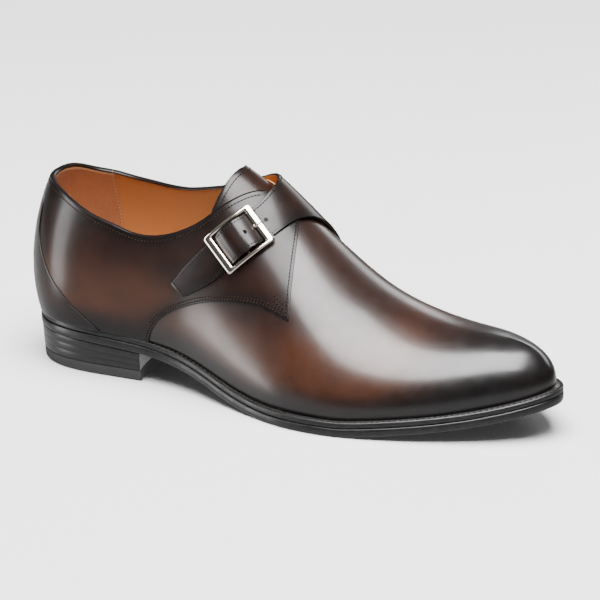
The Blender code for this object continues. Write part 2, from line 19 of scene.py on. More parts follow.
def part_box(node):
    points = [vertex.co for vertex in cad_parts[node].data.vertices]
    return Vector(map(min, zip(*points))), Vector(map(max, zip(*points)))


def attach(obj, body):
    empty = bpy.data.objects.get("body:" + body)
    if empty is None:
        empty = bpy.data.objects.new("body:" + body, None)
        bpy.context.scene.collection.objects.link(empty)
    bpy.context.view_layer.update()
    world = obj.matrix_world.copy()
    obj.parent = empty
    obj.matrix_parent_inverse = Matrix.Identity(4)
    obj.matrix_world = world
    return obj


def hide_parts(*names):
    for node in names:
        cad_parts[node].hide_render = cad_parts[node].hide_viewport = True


bl_info = {
    "name": "Monk strap shoe",
    "version": (1, 0, 0),
    "blender": (4, 5, 0),
    "location": "View3D > Sidebar > Shoe",
    "description": "Builds a lasted leather shoe with a buckled strap piece by piece",
    "category": "Object",
}

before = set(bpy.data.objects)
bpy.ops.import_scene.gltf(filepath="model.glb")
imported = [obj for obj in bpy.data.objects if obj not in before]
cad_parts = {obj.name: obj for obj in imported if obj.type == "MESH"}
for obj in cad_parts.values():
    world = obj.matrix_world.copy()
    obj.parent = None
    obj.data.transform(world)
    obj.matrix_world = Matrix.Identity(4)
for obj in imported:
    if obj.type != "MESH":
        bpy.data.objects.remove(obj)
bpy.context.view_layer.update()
SOLE_LOW, SOLE_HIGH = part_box("outsole")

STATIONS = 14
ROUND = 2 * STATIONS          # the outline's parameter once round the shoe
OUTSOLE_LENGTH = 300.0
MM = (SOLE_HIGH.x - SOLE_LOW.x) / OUTSOLE_LENGTH
HEEL_BACK = SOLE_LOW.x / MM
MIDDLE_LINE = 2.0             # the last's own middle line lies this far to the inner side
MERGE = 4e-6                  # metres
PANEL_MIDDLE = 0.03           # metres up: the line that every panel looks away from
STITCH_BATCH = 40             # small shapes made in one bmesh before it is added to the rest
TUCKED = 9                    # the inset in a strip's profile that stands for its hidden edge
GAP = 0.3
OUTSOLE_THICKNESS = 4.6
WELT_THICKNESS = 3.0
HEEL_JOINT = 6.0
HEEL_BREAST_X = 73.5
HEEL_BREAST_HOLLOW = 4.0
HEEL_LIFTS = 3
HEEL_FOOT_INSET = 1.4         # the stack's inset where it meets the top piece
HEEL_FLARE = 0.9              # how much less that inset is where it meets the sole
LIFT_GROOVE = 0.044           # depth of the line between two lifts

# ------------------------------------------------------------------ the last
OUTER_EDGE = [(0, 0), (7, -20), (24, -31.5), (48, -33.5), (74, -32), (98, -33.5), (122, -40.3),
              (146, -47.8), (170, -53.6), (196, -53), (222, -46.5), (248, -37.2), (272, -26),
              (290, -14.5), (300, 1.5)]
INNER_EDGE = [(0, 0), (7, 20), (24, 31.5), (48, 33), (74, 29.5), (98, 26.5), (122, 28.5),
              (146, 35), (170, 43), (196, 48.5), (222, 49.7), (248, 45), (272, 35),
              (290, 20.5), (300, 1.5)]
TREAD = [(0, 19.5), (40, 18.3), (73, 16.1), (95, 13), (115, 8.3), (135, 2.9), (155, 0.2),
         (175, -0.2), (195, -0.1), (220, 2.2), (245, 5.6), (270, 10.2), (300, 18)]

# One row a station: feather line inside the outsole's edge (outer, inner side), ridge point
# (x, y, z), swell of the wall (outer, inner), its height and the breadth of the top.
SECTIONS = [
    (2.5, 2.5, 33.5, 0.0, 125.0, 12.0, 12.0, 0.42, 0.42, 0.63, 0.63),
    (2.5, 2.5, 37.0, 0.0, 125.0, 11.3, 11.3, 0.42, 0.42, 0.63, 0.63),
    (2.5, 2.5, 45.0, 0.0, 125.5, 10.5, 10.5, 0.42, 0.42, 0.64, 0.64),
    (2.5, 2.5, 60.0, 0.0, 127.0, 9.5, 9.5, 0.42, 0.42, 0.70, 0.70),
    (3.0, 2.5, 78.0, 0.0, 127.5, 8.5, 9.5, 0.41, 0.42, 0.75, 0.75),
    (3.5, 2.5, 98.0, 1.0, 125.5, 7.0, 9.5, 0.40, 0.42, 0.74, 0.72),
    (4.0, 3.0, 120.0, 2.0, 118.0, 6.0, 9.0, 0.38, 0.42, 0.62, 0.60),
    (4.5, 4.0, 144.0, 3.0, 102.5, 6.0, 8.0, 0.36, 0.42, 0.52, 0.54),
    (5.0, 4.5, 169.0, 3.0, 83.0, 5.0, 6.0, 0.35, 0.40, 0.50, 0.55),
    (5.0, 5.0, 194.0, 3.0, 64.0, 4.5, 4.5, 0.38, 0.40, 0.52, 0.56),
    (5.0, 5.0, 218.0, 3.0, 53.0, 4.0, 4.0, 0.42, 0.42, 0.55, 0.58),
    (5.0, 5.0, 240.0, 2.0, 48.5, 3.5, 3.5, 0.48, 0.48, 0.58, 0.60),
    (5.5, 5.5, 257.0, 2.0, 47.5, 3.0, 3.0, 0.55, 0.55, 0.60, 0.60),
    (5.5, 5.5, 267.0, 1.7, 46.8, 2.5, 2.5, 0.56, 0.56, 0.60, 0.60),
    (6.0, 6.0, 271.0, 1.5, 46.5, 2.5, 2.5, 0.56, 0.56, 0.60, 0.60),
]

# ------------------------------------------------------------------ lines drawn on the last
# Pairs are (station, across).  The collars start at the back of the heel, the strap's edges
# at its root on the inner side, and the other lines at the welt or at the quarters' corner.
OUTER_COLLAR = [(0, -0.433), (1.14, -0.439), (1.84, -0.459), (2.31, -0.489), (2.74, -0.521),
                (3.13, -0.544), (3.48, -0.561), (3.79, -0.575), (4.22, -0.574), (4.87, -0.526),
                (5.5, -0.423), (5.86, -0.328), (6.19, -0.23), (6.4, -0.165), (6.58, -0.115)]
INNER_COLLAR = [(0, 0.433), (0.63, 0.427), (1.41, 0.458), (2.09, 0.48), (2.52, 0.499),
                (2.95, 0.512), (3.66, 0.52), (4.04, 0.51), (4.42, 0.487), (4.84, 0.455),
                (5.4, 0.385), (5.75, 0.33)]
STRAP_UPPER_EDGE = [(5.75, 0.33), (6.1, 0.24), (6.4, 0.14), (6.62, 0.03), (6.68, -0.08),
                    (6.6, -0.19), (6.4, -0.29), (6.11, -0.385), (5.61, -0.526), (5.22, -0.624),
                    (4.86, -0.718)]
STRAP_LOWER_EDGE = [(7.83, 0.34), (7.76, 0.23), (7.66, 0.11), (7.53, 0.0), (7.35, -0.11),
                    (7.15, -0.235), (6.94, -0.327), (6.71, -0.404), (6.15, -0.565),
                    (5.65, -0.672), (5.18, -0.747)]
QUARTER_CORNER = (7.79, 0.559)
# The quarters' lower edge from the welt to the corner, and the front edge up from there,
# both with across as on the inner side.
QUARTER_LOWER = [(4.2, 1.0), (4.25, 0.965), (4.37, 0.92), (4.55, 0.879), (4.86, 0.829),
                 (5.29, 0.773), (5.69, 0.724), (6.14, 0.676), (6.63, 0.625), (7.14, 0.581),
                 (7.47, 0.567), QUARTER_CORNER]
QUARTER_FRONT = [QUARTER_CORNER, (7.69, 0.432), (7.57, 0.29), (7.42, 0.135), (7.3, 0.03)]
INNER_FRONT = [QUARTER_CORNER, (7.83, 0.45), (7.83, 0.34)]
COUNTER_SEAM = [(3.12, 1.0), (3.02, 0.983), (2.63, 0.925), (2.28, 0.866), (1.96, 0.813),
                (1.61, 0.746), (1.27, 0.669), (1.11, 0.605), (0.88, 0.529), (0.51, 0.46),
                (0.42, 0.43)]
VAMP_BACK = [(3.95, 1.0), (4.15, 0.9), (4.75, 0.8), (5.6, 0.7), (6.6, 0.6), (7.15, 0.53),
             (7.1, 0.4), (7.0, 0.2), (6.95, 0.0)]
GRIP_EDGE = [(2.2, 1.0), (2.28, 0.767), (2.25, 0.701), (2.15, 0.608), (2.04, 0.506), (2.0, 0.44)]

WELT_PART = [(0, 1.0), (2.1, 1.0), (4.2, 1.0)]      # the quarters' edge along the heel's welt
BAR_TACKS = [((7.4, 0.525), (7.68, 0.53)), ((7.38, 0.505), (7.66, 0.51))]

# Lifts of each layer's outer face above the last, mm.
LINING_LIFT = 0.7
HEEL_GRIP_LIFT = -0.02
VAMP_LIFT = 1.6
QUARTER_LIFT = 2.4
COUNTER_LIFT = 2.95
STRAP_LIFT = 4.0
TONGUE_LIFT = -0.6

# The strap, mm: its crown, its rise over the buckle's bar, level as far as HUMP_FLAT and over
# at HUMP_END, and its loop over the ridge, whose spread is given in across.
STRAP_CROWN = 0.35
STRAP_HUMP = 4.8
HUMP_FLAT = 2.0
HUMP_END = 12.5
STRAP_LOOP = 2.2
LOOP_SPREAD = 0.22

# The tongue's free edge and its root as stations, its half width in across, its thickness.
TONGUE_TOP = 6.0
TONGUE_TOP_LEAN = 1.2
TONGUE_ROOT = 8.1
TONGUE_HALF_WIDTH = 0.52
TONGUE_THICKNESS = 1.7

# The other panels that have no setting in the sidebar, mm unless they say otherwise.
HEEL_GRIP_THICKNESS = 0.5
GRIP_FOOT = 0.985             # across at the grip's foot, and how far its top is from the collar
GRIP_GAP = 0.008
COUNTER_THICKNESS = 0.7
COUNTER_TOP = 0.437           # across
THROAT = 7.25                 # the station where the collar's opening ends in the lining

# Stitches, mm: how far each row lies inside its edge, and the size of a stitch.
COLLAR_ROW = 2.5
QUARTER_ROW = 1.5
SECOND_QUARTER_ROW = 3.0
FRONT_ROW = 1.7
STRAP_ROW = 1.5
GRIP_ROW = 0.8
GRIP_THREAD_LIFT = -0.55
TONGUE_ROW = 0.12             # stations
STITCH_LIFT = 0.05
STRAP_STITCH_LIFT = 0.02
TONGUE_STITCH_LIFT = 0.03
STITCH_LENGTH = 0.95
STITCH_RADIUS = 0.25
STITCH_FLATNESS = 0.85
# Each awl hole is a near-black bead that paints the shade inside the hole: its half sizes, and how far
# it sits below the stitch line.
AWL_HOLE_SHADE = (0.46, 0.24, 0.5)  # half sizes
AWL_HOLE_SHADE_DEPTH = 0.03
GRIP_STITCH = (2.0, 1.1, 0.22)      # pitch, length, radius
WELT_STITCH = (1.9, 0.55)           # length, radius
WELT_GROOVE = (1.8, 2.85)           # inset and height of the welt's stitches

# The collar's binding is an oval, mm: half sizes, sides, and its middle from the edge.
BINDING = (1.45, 0.7, 14, (1.15, -0.1))

# The buckle, mm: its middle on the last, its turn to the last's length, its frame and bar.
BUCKLE_STATION = 6.38
BUCKLE_HEIGHT = 0.592         # from the feather line (0) to the ridge (1)
BUCKLE_TURN = math.radians(76.4)
BUCKLE_LENGTH = 30.4
BUCKLE_WIDTH = 24.0
BUCKLE_END_BAR = 4.2
BUCKLE_SIDE_BAR = 2.2
BUCKLE_CORNER = 1.6
BUCKLE_BEND_RADIUS = 50.0
BUCKLE_STANDOFF = 4.9
BAR_RADIUS = 0.8
BAR_STANDOFF = 4.5
INNER_CORNER = 0.7
PRONG_HALF_SIZE = (1.0, 0.55)
PRONG_TAPER = 0.25
STRAP_HOLES = (4.9, 16.9)     # along the strap from the buckle's bar
STRAP_HOLE_RADIUS = 1.0
HOLE_RIM_RADIUS = 1.1
HOLE_RIM_THICKNESS = 0.17

# ------------------------------------------------------------------ studio, in metres
# Each lamp is (place, what it points at, its two sides).
OVERHEAD_LAMP = ((0.26, -0.44, 1.1), (0.1, -0.1, 0.05), (0.8, 0.95))
SIDE_LAMP = ((-0.84, -0.56, 0.12), (0, 0, 0.06), (0.3, 0.9))
RIM_LAMP = ((0.35, 1.15, 0.55), (0, 0, 0.05), (1.4, 0.4))
FILL_LAMP = ((0.1, -0.2, 1.9), (0, 0, 0), (1.6, 1.6))
FLOOR_HALF_SIDE = 6
FLOOR_GREYS = (0.9, 0.93)
# The room's grey from straight below (0) over the horizon (0.5) to straight above (1).
ROOM_GREYS = [(0.0, 1.2), (0.37, 1.1), (0.45, 0.12), (0.55, 0.08), (1.0, 0.25)]
CAMERA_CENTRE = Vector((0.0014, 0.002, 0.04))
CAMERA_AIM = Vector((0.0023, 0.0057, 0.0477))
CAMERA_FILM = 36              # millimetres


def spline(places, values, level_ends=False):
    """A smooth curve through values at places; its ends are free, or level."""
    places = np.asarray(places, float)
    values = np.asarray(values, float).reshape(len(places), -1)
    count = len(places)
    step = np.diff(places)
    slope = np.diff(values, axis=0) / step[:, None]
    matrix = np.eye(count)
    right = np.zeros_like(values)
    for i in range(1, count - 1):
        matrix[i, i - 1:i + 2] = step[i - 1], 2 * (step[i - 1] + step[i]), step[i]
        right[i] = 6 * (slope[i] - slope[i - 1])
    if level_ends:
        matrix[0, :2] = 2 * step[0], step[0]
        matrix[-1, -2:] = step[-1], 2 * step[-1]
        right[0] = 6 * slope[0]
        right[-1] = -6 * slope[-1]
    bend = np.linalg.solve(matrix, right)

    def curve(at):
        at = np.atleast_1d(np.asarray(at, float))
        i = np.clip(np.searchsorted(places, at) - 1, 0, count - 2)
        t = (at - places[i])[:, None]
        h = step[i][:, None]
        start = slope[i] - h * (2 * bend[i] + bend[i + 1]) / 6
        return values[i] + start * t + bend[i] / 2 * t ** 2 + (bend[i + 1] - bend[i]) / (6 * h) * t ** 3

    return curve


def closed_spline(points):
    """A smooth closed curve through points, and its direction; one unit a point."""
    points = np.asarray(points, float)
    count = len(points)
    matrix = 4 * np.eye(count) + np.roll(np.eye(count), 1, 0) + np.roll(np.eye(count), -1, 0)
    right = 6 * (np.roll(points, -1, 0) - 2 * points + np.roll(points, 1, 0))
    bend = np.linalg.solve(matrix, right)

    def parts(at):
        at = np.atleast_1d(np.asarray(at, float)) % count
        i = np.floor(at).astype(int) % count
        j = (i + 1) % count
        start = points[j] - points[i] - (2 * bend[i] + bend[j]) / 6
        return points[i], start, bend[i], bend[j] - bend[i], (at - np.floor(at))[:, None]

    def curve(at):
        point, start, first, change, t = parts(at)
        return point + start * t + first / 2 * t ** 2 + change / 6 * t ** 3

    def direction(at):
        _, start, first, change, t = parts(at)
        return start + first * t + change * t ** 2 / 2

    return curve, direction


OUTLINE, OUTLINE_DIRECTION = closed_spline(OUTER_EDGE + INNER_EDGE[-2:0:-1])
TREAD_CURVE = spline(*zip(*TREAD))
SECTION_CURVE = spline(range(STATIONS + 1), SECTIONS, level_ends=True)


def smooth(low, high, value):
    """0 below low, 1 above high, and a soft step between them."""
    t = np.clip((np.asarray(value, float) - low) / (high - low), 0, 1)
    return t * t * (3 - 2 * t)


def tread(x):
    x = np.asarray(x, float)
    height = TREAD_CURVE(np.clip(x.ravel(), 0, OUTSOLE_LENGTH))[:, 0].reshape(x.shape)
    return np.maximum(height, 0.0)


def outsole_top(x):
    return tread(x) + OUTSOLE_THICKNESS


def feather(x):
    return outsole_top(x) + WELT_THICKNESS + 2 * GAP


def rim(place):
    """Points of the outsole's outline and the directions inwards, once round in ROUND units."""
    direction = OUTLINE_DIRECTION(place)
    direction /= np.linalg.norm(direction, axis=1)[:, None]
    return OUTLINE(place), np.stack([-direction[:, 1], direction[:, 0]], 1)


def rim_place(side, station):
    return station if side < 0 else ROUND - station


def edge(side, station, inset):
    line, inward = rim(rim_place(side, np.atleast_1d(np.asarray(station, float))))
    return line + inward * np.reshape(inset, (-1, 1))


def feather_inset(place):
    """How far the feather line lies inside the outline, at a place once round it."""
    place = np.asarray(place, float) % ROUND
    station = np.minimum(place, ROUND - place)
    row = SECTION_CURVE(station)
    return np.where(place <= STATIONS, row[:, 0], row[:, 1])


def last_point(side, station, height):
    """A section of the last is a cubic arch from the feather line to the ridge."""
    row = SECTION_CURVE(station)
    column = 0 if side < 0 else 1
    base = edge(side, station, row[:, column])
    base = np.column_stack([base, feather(base[:, 0])])
    ridge = row[:, 2:5]
    swell, swell_height, breadth = (row[:, [c + column]] for c in (5, 7, 9))
    ahead = SECTION_CURVE(np.minimum(station + 0.001, STATIONS))[:, 2:5]
    behind = SECTION_CURVE(np.maximum(station - 0.001, 0))[:, 2:5]
    fall = ((ahead - behind)[:, 2] / np.maximum((ahead - behind)[:, 0], 1e-9))[:, None]
    across = ridge[:, :2] - base[:, :2]
    width = np.linalg.norm(across, axis=1)[:, None]
    across /= width
    low = base + np.hstack([-across * swell, swell_height * (ridge - base)[:, 2:]])
    high = ridge - np.hstack([across, fall * across[:, :1]]) * breadth * width
    v = height[:, None]
    u = 1 - v
    return u ** 3 * base + 3 * u ** 2 * v * low + 3 * u * v ** 2 * high + v ** 3 * ridge


def on_side(side, station, height):
    """Points on one side of the last, and the normals there."""
    small = 0.002
    points = last_point(side, station, height)
    along = (last_point(side, np.minimum(station + small, STATIONS), height)
             - last_point(side, np.maximum(station - small, 0), height))
    upward = (last_point(side, station, np.minimum(height + small, 1))
              - last_point(side, station, np.maximum(height - small, 0)))
    normal = -side * np.cross(along, upward)
    normal /= np.maximum(np.linalg.norm(normal, axis=1), 1e-12)[:, None]
    return points, normal


def surface(station, across, lift=0.0):
    """Points on the last, moved out by lift, and the normals there."""
    given = np.broadcast_arrays(station, across, lift)
    station, across, lift = (np.asarray(a, float).ravel() for a in given)
    height = np.clip(1 - np.abs(across), 0, 1)
    outer, inner = on_side(-1, station, height), on_side(1, station, height)
    left = (across < 0)[:, None]
    points, normals = (np.where(left, a, b) for a, b in zip(outer, inner))
    return points + normals * lift[:, None], normals


def to_world(points):
    """Millimetres from the back of the heel to the frame's metres."""
    return (np.asarray(points, float) + (HEEL_BACK, MIDDLE_LINE, 0)) * MM


def line_of(points, sign=1):
    """A smooth line through points, from 0 to 1 by its length on the last."""
    points = np.asarray(points, float) * (1, sign)
    places, _ = surface(points[:, 0], points[:, 1])
    length = np.concatenate([[0], np.cumsum(np.linalg.norm(np.diff(places, axis=0), axis=1))])
    return spline(length / length[-1], points)


def chain(*lines):
    """Several lines one after another, given as (share of the whole, points, sign)."""
    ends = np.cumsum([0.0] + [share for share, _, _ in lines])
    curves = [line_of(points, sign) for _, points, sign in lines]

    def curve(at):
        at = np.asarray(at, float)
        found = np.zeros((len(at), 2))
        for start, end, line in zip(ends[:-1], ends[1:], curves):
            inside = (at >= start - 1e-9) & (at <= end + 1e-9)
            found[inside] = line((at[inside] - start) / (end - start))
        return found

    return curve


def station_at(line):
    """The station of a line as a function of across."""
    return spline(*zip(*sorted((across, station) for station, across in line)))


# ------------------------------------------------------------------ buckle and strap shape
def buckle_axes():
    """The buckle's middle on the last, and the ways along the strap, across it and out."""
    small = 0.01
    k, v = BUCKLE_STATION, BUCKLE_HEIGHT

    def at(station, height):
        return last_point(-1, np.array([station]), np.array([height]))[0]

    along = at(k + small, v) - at(k - small, v)
    upward = at(k, v + small) - at(k, v - small)
    out = np.cross(along, upward)
    out /= np.linalg.norm(out)
    along /= np.linalg.norm(along)
    upward = np.cross(out, along)
    strap_way = along * math.cos(BUCKLE_TURN) + upward * math.sin(BUCKLE_TURN)
    return at(k, v), strap_way, np.cross(out, strap_way), out


BUCKLE_AXES = buckle_axes()


def on_buckle(points):
    """From the buckle's own axes to the shoe's; the frame is bent round the instep."""
    middle, strap_way, across, out = BUCKLE_AXES
    x, y, z = np.moveaxis(np.asarray(points, float), -1, 0)
    z = z - x ** 2 / (2 * BUCKLE_BEND_RADIUS)
    return middle + x[..., None] * strap_way + y[..., None] * across + z[..., None] * out


STRAP_TOP_STATION = station_at(STRAP_UPPER_EDGE)
STRAP_LOW_STATION = station_at(STRAP_LOWER_EDGE)


def strap_share(station, across):
    """0 at the strap's upper edge and 1 at its lower edge."""
    top = STRAP_TOP_STATION(across)[:, 0]
    low = STRAP_LOW_STATION(across)[:, 0]
    return np.clip((station - top) / (low - top), 0, 1)


def strap_lift(station, across):
    """The strap lies on the outer quarter, rises over the bar and loops over the ridge; on
    the inner side it sinks to the level of the quarter that it is cut from."""
    points, _ = surface(station, across)
    from_bar = np.abs((points - BUCKLE_AXES[0]) @ BUCKLE_AXES[1])
    hump = STRAP_HUMP * (1 - smooth(HUMP_FLAT, HUMP_END, from_bar)) * (across < 0.1)
    share = strap_share(station, across)
    loop = STRAP_LOOP * np.exp(-(across / LOOP_SPREAD) ** 2) * (1 - share)
    crown = STRAP_CROWN * (1 - (2 * share - 1) ** 2)
    lying = STRAP_LIFT + hump + loop + crown
    inner = smooth(0.12, 0.42, across)
    return lying * (1 - inner) + QUARTER_LIFT * inner


# ------------------------------------------------------------------ materials
class Nodes:
    """Short calls for the nodes of one tree."""

    def __init__(self, tree):
        self.tree = tree

    def put(self, kind, inputs=(), **settings):
        node = self.tree.nodes.new(kind)
        for key, value in settings.items():
            setattr(node, key, value)
        for socket, value in dict(inputs).items():
            if isinstance(value, bpy.types.NodeSocket):
                self.tree.links.new(value, node.inputs[socket])
            else:
                node.inputs[socket].default_value = value
        return node

    def ramp(self, value, stops):
        node = self.put("ShaderNodeValToRGB", {"Fac": value})
        elements = node.color_ramp.elements
        while len(elements) < len(stops):
            elements.new(0.5)
        for element, (place, colour) in zip(elements, stops):
            element.position = place
            element.color = (*colour, 1)
        return node.outputs[0]


class Finish(Nodes):
    """A node material, and the patterns that it is made of."""

    def __init__(self, name, **constants):
        self.material = bpy.data.materials.new(name)
        self.material.use_nodes = True
        super().__init__(self.material.node_tree)
        self.shader = self.tree.nodes["Principled BSDF"]
        self.place = self.tree.nodes.new("ShaderNodeTexCoord").outputs["Object"]
        for socket, value in constants.items():
            self.shader.inputs[socket.replace("_", " ")].default_value = value

    def noise(self, scale, detail=3.0, stretch=(1, 1, 1)):
        place = self.put("ShaderNodeMapping", {"Vector": self.place, "Scale": stretch}).outputs[0]
        inputs = {"Vector": place, "Scale": scale, "Detail": detail}
        return self.put("ShaderNodeTexNoise", inputs).outputs[0]

    def cells(self, scale):
        return self.put("ShaderNodeTexVoronoi", {"Vector": self.place, "Scale": scale}).outputs[0]

    def attribute(self, name):
        return self.put("ShaderNodeAttribute", attribute_name=name).outputs["Fac"]

    def maths(self, operation, first, second):
        return self.put("ShaderNodeMath", {0: first, 1: second}, operation=operation).outputs[0]

    def between(self, value, low, high):
        """A value from 0.3 to 0.7 taken to low and high, which it stays between."""
        inputs = {"Value": value, "From Min": 0.3, "From Max": 0.7, "To Min": low, "To Max": high}
        return self.put("ShaderNodeMapRange", inputs).outputs[0]

    def use(self, socket, value):
        self.tree.links.new(value, self.shader.inputs[socket])

    def bump(self, *heights):
        """Relief from (height, depth in metres) pairs, one over another."""
        normal = None
        for height, depth in heights:
            inputs = {"Height": height, "Distance": depth, "Strength": 1.0}
            if normal is not None:
                inputs["Normal"] = normal
            normal = self.put("ShaderNodeBump", inputs).outputs[0]
        self.use("Normal", normal)


def tint(colour, factor):
    return tuple(factor * c for c in colour)


def grey(value):
    return (value, value, value)


def finish(name, make):
    """The finish called name, made the first time that it is asked for."""
    return bpy.data.materials.get(name) or make(name).material


def leather(name, base_shade=0.0, by_place=True, polish=0.5):
    """Hand-burnished calf: warm brown where shade is 0 and nearly black where it is 1."""
    colours = bpy.context.scene.shoe_colours

    def make(name):
        look = Finish(name, Coat_Weight=polish, Coat_Roughness=0.2, Specular_IOR_Level=0.7 * polish)
        shade = look.maths("MULTIPLY_ADD", look.noise(38, 2), 0.5)
        shade.node.inputs[2].default_value = base_shade - 0.25
        if by_place:
            shade = look.maths("ADD", shade, look.attribute("shade"))
        stops = [(0.0, colours.leather_warm), (0.38, colours.leather_brown),
                 (0.72, colours.leather_deep), (1.0, colours.leather_dark)]
        look.use("Base Color", look.ramp(shade, stops))
        gloss = colours.leather_gloss
        look.use("Roughness", look.between(look.noise(160, 2), gloss, gloss + 0.09))
        look.bump((look.noise(18, 1), 0.0006), (look.noise(90, 2), 0.00006), (look.cells(900), 0.000012))
        return look

    return finish(name, make)


def tan_leather(name, colour, roughness, depth):
    """Undyed lining leather, or suede with a deeper nap."""
    def make(name):
        look = Finish(name, Sheen_Weight=0.15, Sheen_Roughness=0.6)
        tone = look.maths("ADD", look.noise(30, 5), look.maths("MULTIPLY", look.noise(700, 3), 0.35))
        look.use("Base Color", look.ramp(tone, [(0.45, tint(colour, 0.72)), (0.9, tint(colour, 1.12))]))
        look.use("Roughness", look.between(look.noise(220, 3), roughness, roughness + 0.12))
        look.bump((look.noise(1700, 3), depth), (look.cells(900), depth / 2))
        return look

    return finish(name, make)


def edge_black(name, gloss, layered=False):
    """Inked and waxed leather edge; layered shows the fibres of the lifts."""
    colours = bpy.context.scene.shoe_colours

    def make(name):
        look = Finish(name, Specular_IOR_Level=0.45)
        stretch = (1, 1, 9) if layered else (1, 1, 1)
        grain = look.noise(260, 4, stretch)
        stops = [(0.3, colours.edge_ink), (0.75, tint(colours.edge_ink, 2.4))]
        look.use("Base Color", look.ramp(grain, stops))
        look.use("Roughness", look.between(look.noise(120, 4, stretch), gloss, gloss + 0.14))
        look.bump((grain, 0.00001), (look.noise(1300, 2), 0.000008))
        return look

    return finish(name, make)


def rubber(name):
    """Matt black rubber of the heel's top piece."""
    def make(name):
        look = Finish(name, Specular_IOR_Level=0.35)
        look.use("Base Color", look.ramp(look.noise(300, 3), [(0.3, grey(0.012)), (0.7, grey(0.022))]))
        look.use("Roughness", look.between(look.noise(150, 3), 0.5, 0.62))
        look.bump((look.noise(1100, 3), 0.00003))
        return look

    return finish(name, make)


def thread(name, colour):
    """Waxed linen thread with a fine twist."""
    def make(name):
        look = Finish(name, Specular_IOR_Level=0.15)
        stops = [(0.3, tint(colour, 0.55)), (0.7, colour)]
        look.use("Base Color", look.ramp(look.noise(2400, 2), stops))
        look.use("Roughness", look.between(look.noise(1500, 2), 0.6, 0.75))
        look.bump((look.noise(3000, 1, (6, 1, 1)), 0.00003))
        return look

    return finish(name, make)


def buckle_metal(name):
    """Polished metal with a faint brushed grain."""
    colours = bpy.context.scene.shoe_colours

    def make(name):
        look = Finish(name, Metallic=1.0)
        stops = [(0.35, tint(colours.metal, 0.9)), (0.65, colours.metal)]
        look.use("Base Color", look.ramp(look.noise(60, 3), stops))
        look.use("Roughness", look.between(look.noise(500, 4, (1, 1, 8)), 0.07, 0.14))
        look.bump((look.noise(1800, 2, (6, 1, 1)), 0.000002))
        return look

    return finish(name, make)


# ------------------------------------------------------------------ meshes
def place_piece(name, mesh, material, replaced=()):
    """The finished mesh as a piece of the shoe, with its material."""
    mesh.materials.append(material)
    piece = bpy.data.objects.new(name, mesh)
    bpy.context.scene.collection.objects.link(piece)
    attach(piece, "root")
    if replaced:
        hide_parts(*replaced)


def mesh_from(name, bm, sharp=50):
    mesh = bpy.data.meshes.new(name)
    bm.to_mesh(mesh)
    bm.free()
    mesh.shade_smooth()
    mesh.set_sharp_from_angle(angle=math.radians(sharp))
    return mesh


def grid_points(bm, columns, rows):
    """A new grid's vertices and their places in it, from 0 to 1 both ways."""
    made = bmesh.ops.create_grid(bm, x_segments=columns, y_segments=rows, size=0.5)["verts"]
    return made, np.array([vert.co[:2] for vert in made]) + 0.5


def grid_numbers(share, columns, rows):
    """Which column and row of its grid each vertex is in."""
    return np.rint(share[:, 0] * columns).astype(int), np.rint(share[:, 1] * rows).astype(int)


def move_to(verts, points):
    """Puts the vertices at points given in millimetres."""
    for vert, point in zip(verts, to_world(points)):
        vert.co = point


def face_outwards(bm):
    """Turns an open sheet so that it looks away from the shoe's middle line."""
    bm.normal_update()
    total = 0
    for face in bm.faces:
        centre = face.calc_center_median()
        middle = Vector((centre.x, 0, PANEL_MIDDLE))
        total += face.calc_area() * face.normal.dot(centre - middle)
    if total < 0:
        bmesh.ops.reverse_faces(bm, faces=bm.faces)
    bm.normal_update()


def round_rim(bm, radius, angle=55):
    """Rounds the cut edges of a sheet that has its thickness."""
    bm.normal_update()
    sharp = [e for e in bm.edges if e.is_manifold and e.calc_face_angle(0) > math.radians(angle)]
    bmesh.ops.bevel(bm, geom=sharp, offset=radius, offset_type="OFFSET", affect="EDGES", segments=2,
                    profile=0.5, material=-1, clamp_overlap=True)


def sheet_on_last(columns, rows, place, lift):
    """An open sheet over the last: place turns grid shares into stations and across."""
    bm = bmesh.new()
    layer = bm.verts.layers.float.new("lift")
    made, share = grid_points(bm, columns, rows)
    station, across = place(share[:, 0], share[:, 1])
    points, _ = surface(station, across)
    rise = np.broadcast_to(lift(station, across) if callable(lift) else lift, station.shape)
    for vert, point, value in zip(made, to_world(points), rise * MM):
        vert.co = point
        vert[layer] = value
    bmesh.ops.remove_doubles(bm, verts=bm.verts, dist=MERGE)
    bmesh.ops.dissolve_degenerate(bm, edges=bm.edges, dist=MERGE / 4)
    face_outwards(bm)
    for vert in bm.verts:
        vert.co += vert.normal * vert[layer]
    return bm


def rim_points(bm):
    return [vert.co.copy() for vert in bm.verts if vert.is_boundary]


def paint_back(bm, front):
    """Gives the second material to the faces that look away from those above them."""
    tree = KDTree(len(front))
    for number, point in enumerate(front):
        tree.insert(point, number)
    tree.balance()
    for face in bm.faces:
        centre = face.calc_center_median()
        above = Vector(tree.find(centre)[0]) - centre
        face.material_index = int(face.normal.dot(above.normalized()) < -0.6)


def burnish(mesh, seeds, base, reach, rim):
    """Writes shade: darker at toe, heel and welt and towards the seams in seeds."""
    count = len(mesh.vertices)
    places = np.zeros(count * 3)
    mesh.vertices.foreach_get("co", places)
    places = places.reshape(-1, 3) / MM - (HEEL_BACK, MIDDLE_LINE, 0)
    x, z = places[:, 0], places[:, 2]
    above = z - feather(np.clip(x, 0, OUTSOLE_LENGTH))
    front = smooth(205, 262, x - 0.25 * z)
    heel = 1 - smooth(-4, 26, x)
    low = 0.7 * (1 - smooth(1, 17, above))
    tall = 0.4 * smooth(26, 50, above)
    tree = KDTree(len(seeds))
    for number, point in enumerate(seeds):
        tree.insert(point, number)
    tree.balance()
    near = np.array([tree.find(vert.co)[2] / MM for vert in mesh.vertices])
    seam = rim * np.exp(-(near / reach) ** 1.3)
    light = (1 - front) * (1 - 0.85 * heel) * (1 - low) * (1 - tall) * (1 - seam) * (1 - base)
    layer = mesh.attributes.new("shade", "FLOAT", "POINT")
    layer.data.foreach_set("value", (1 - light).astype(np.float32))


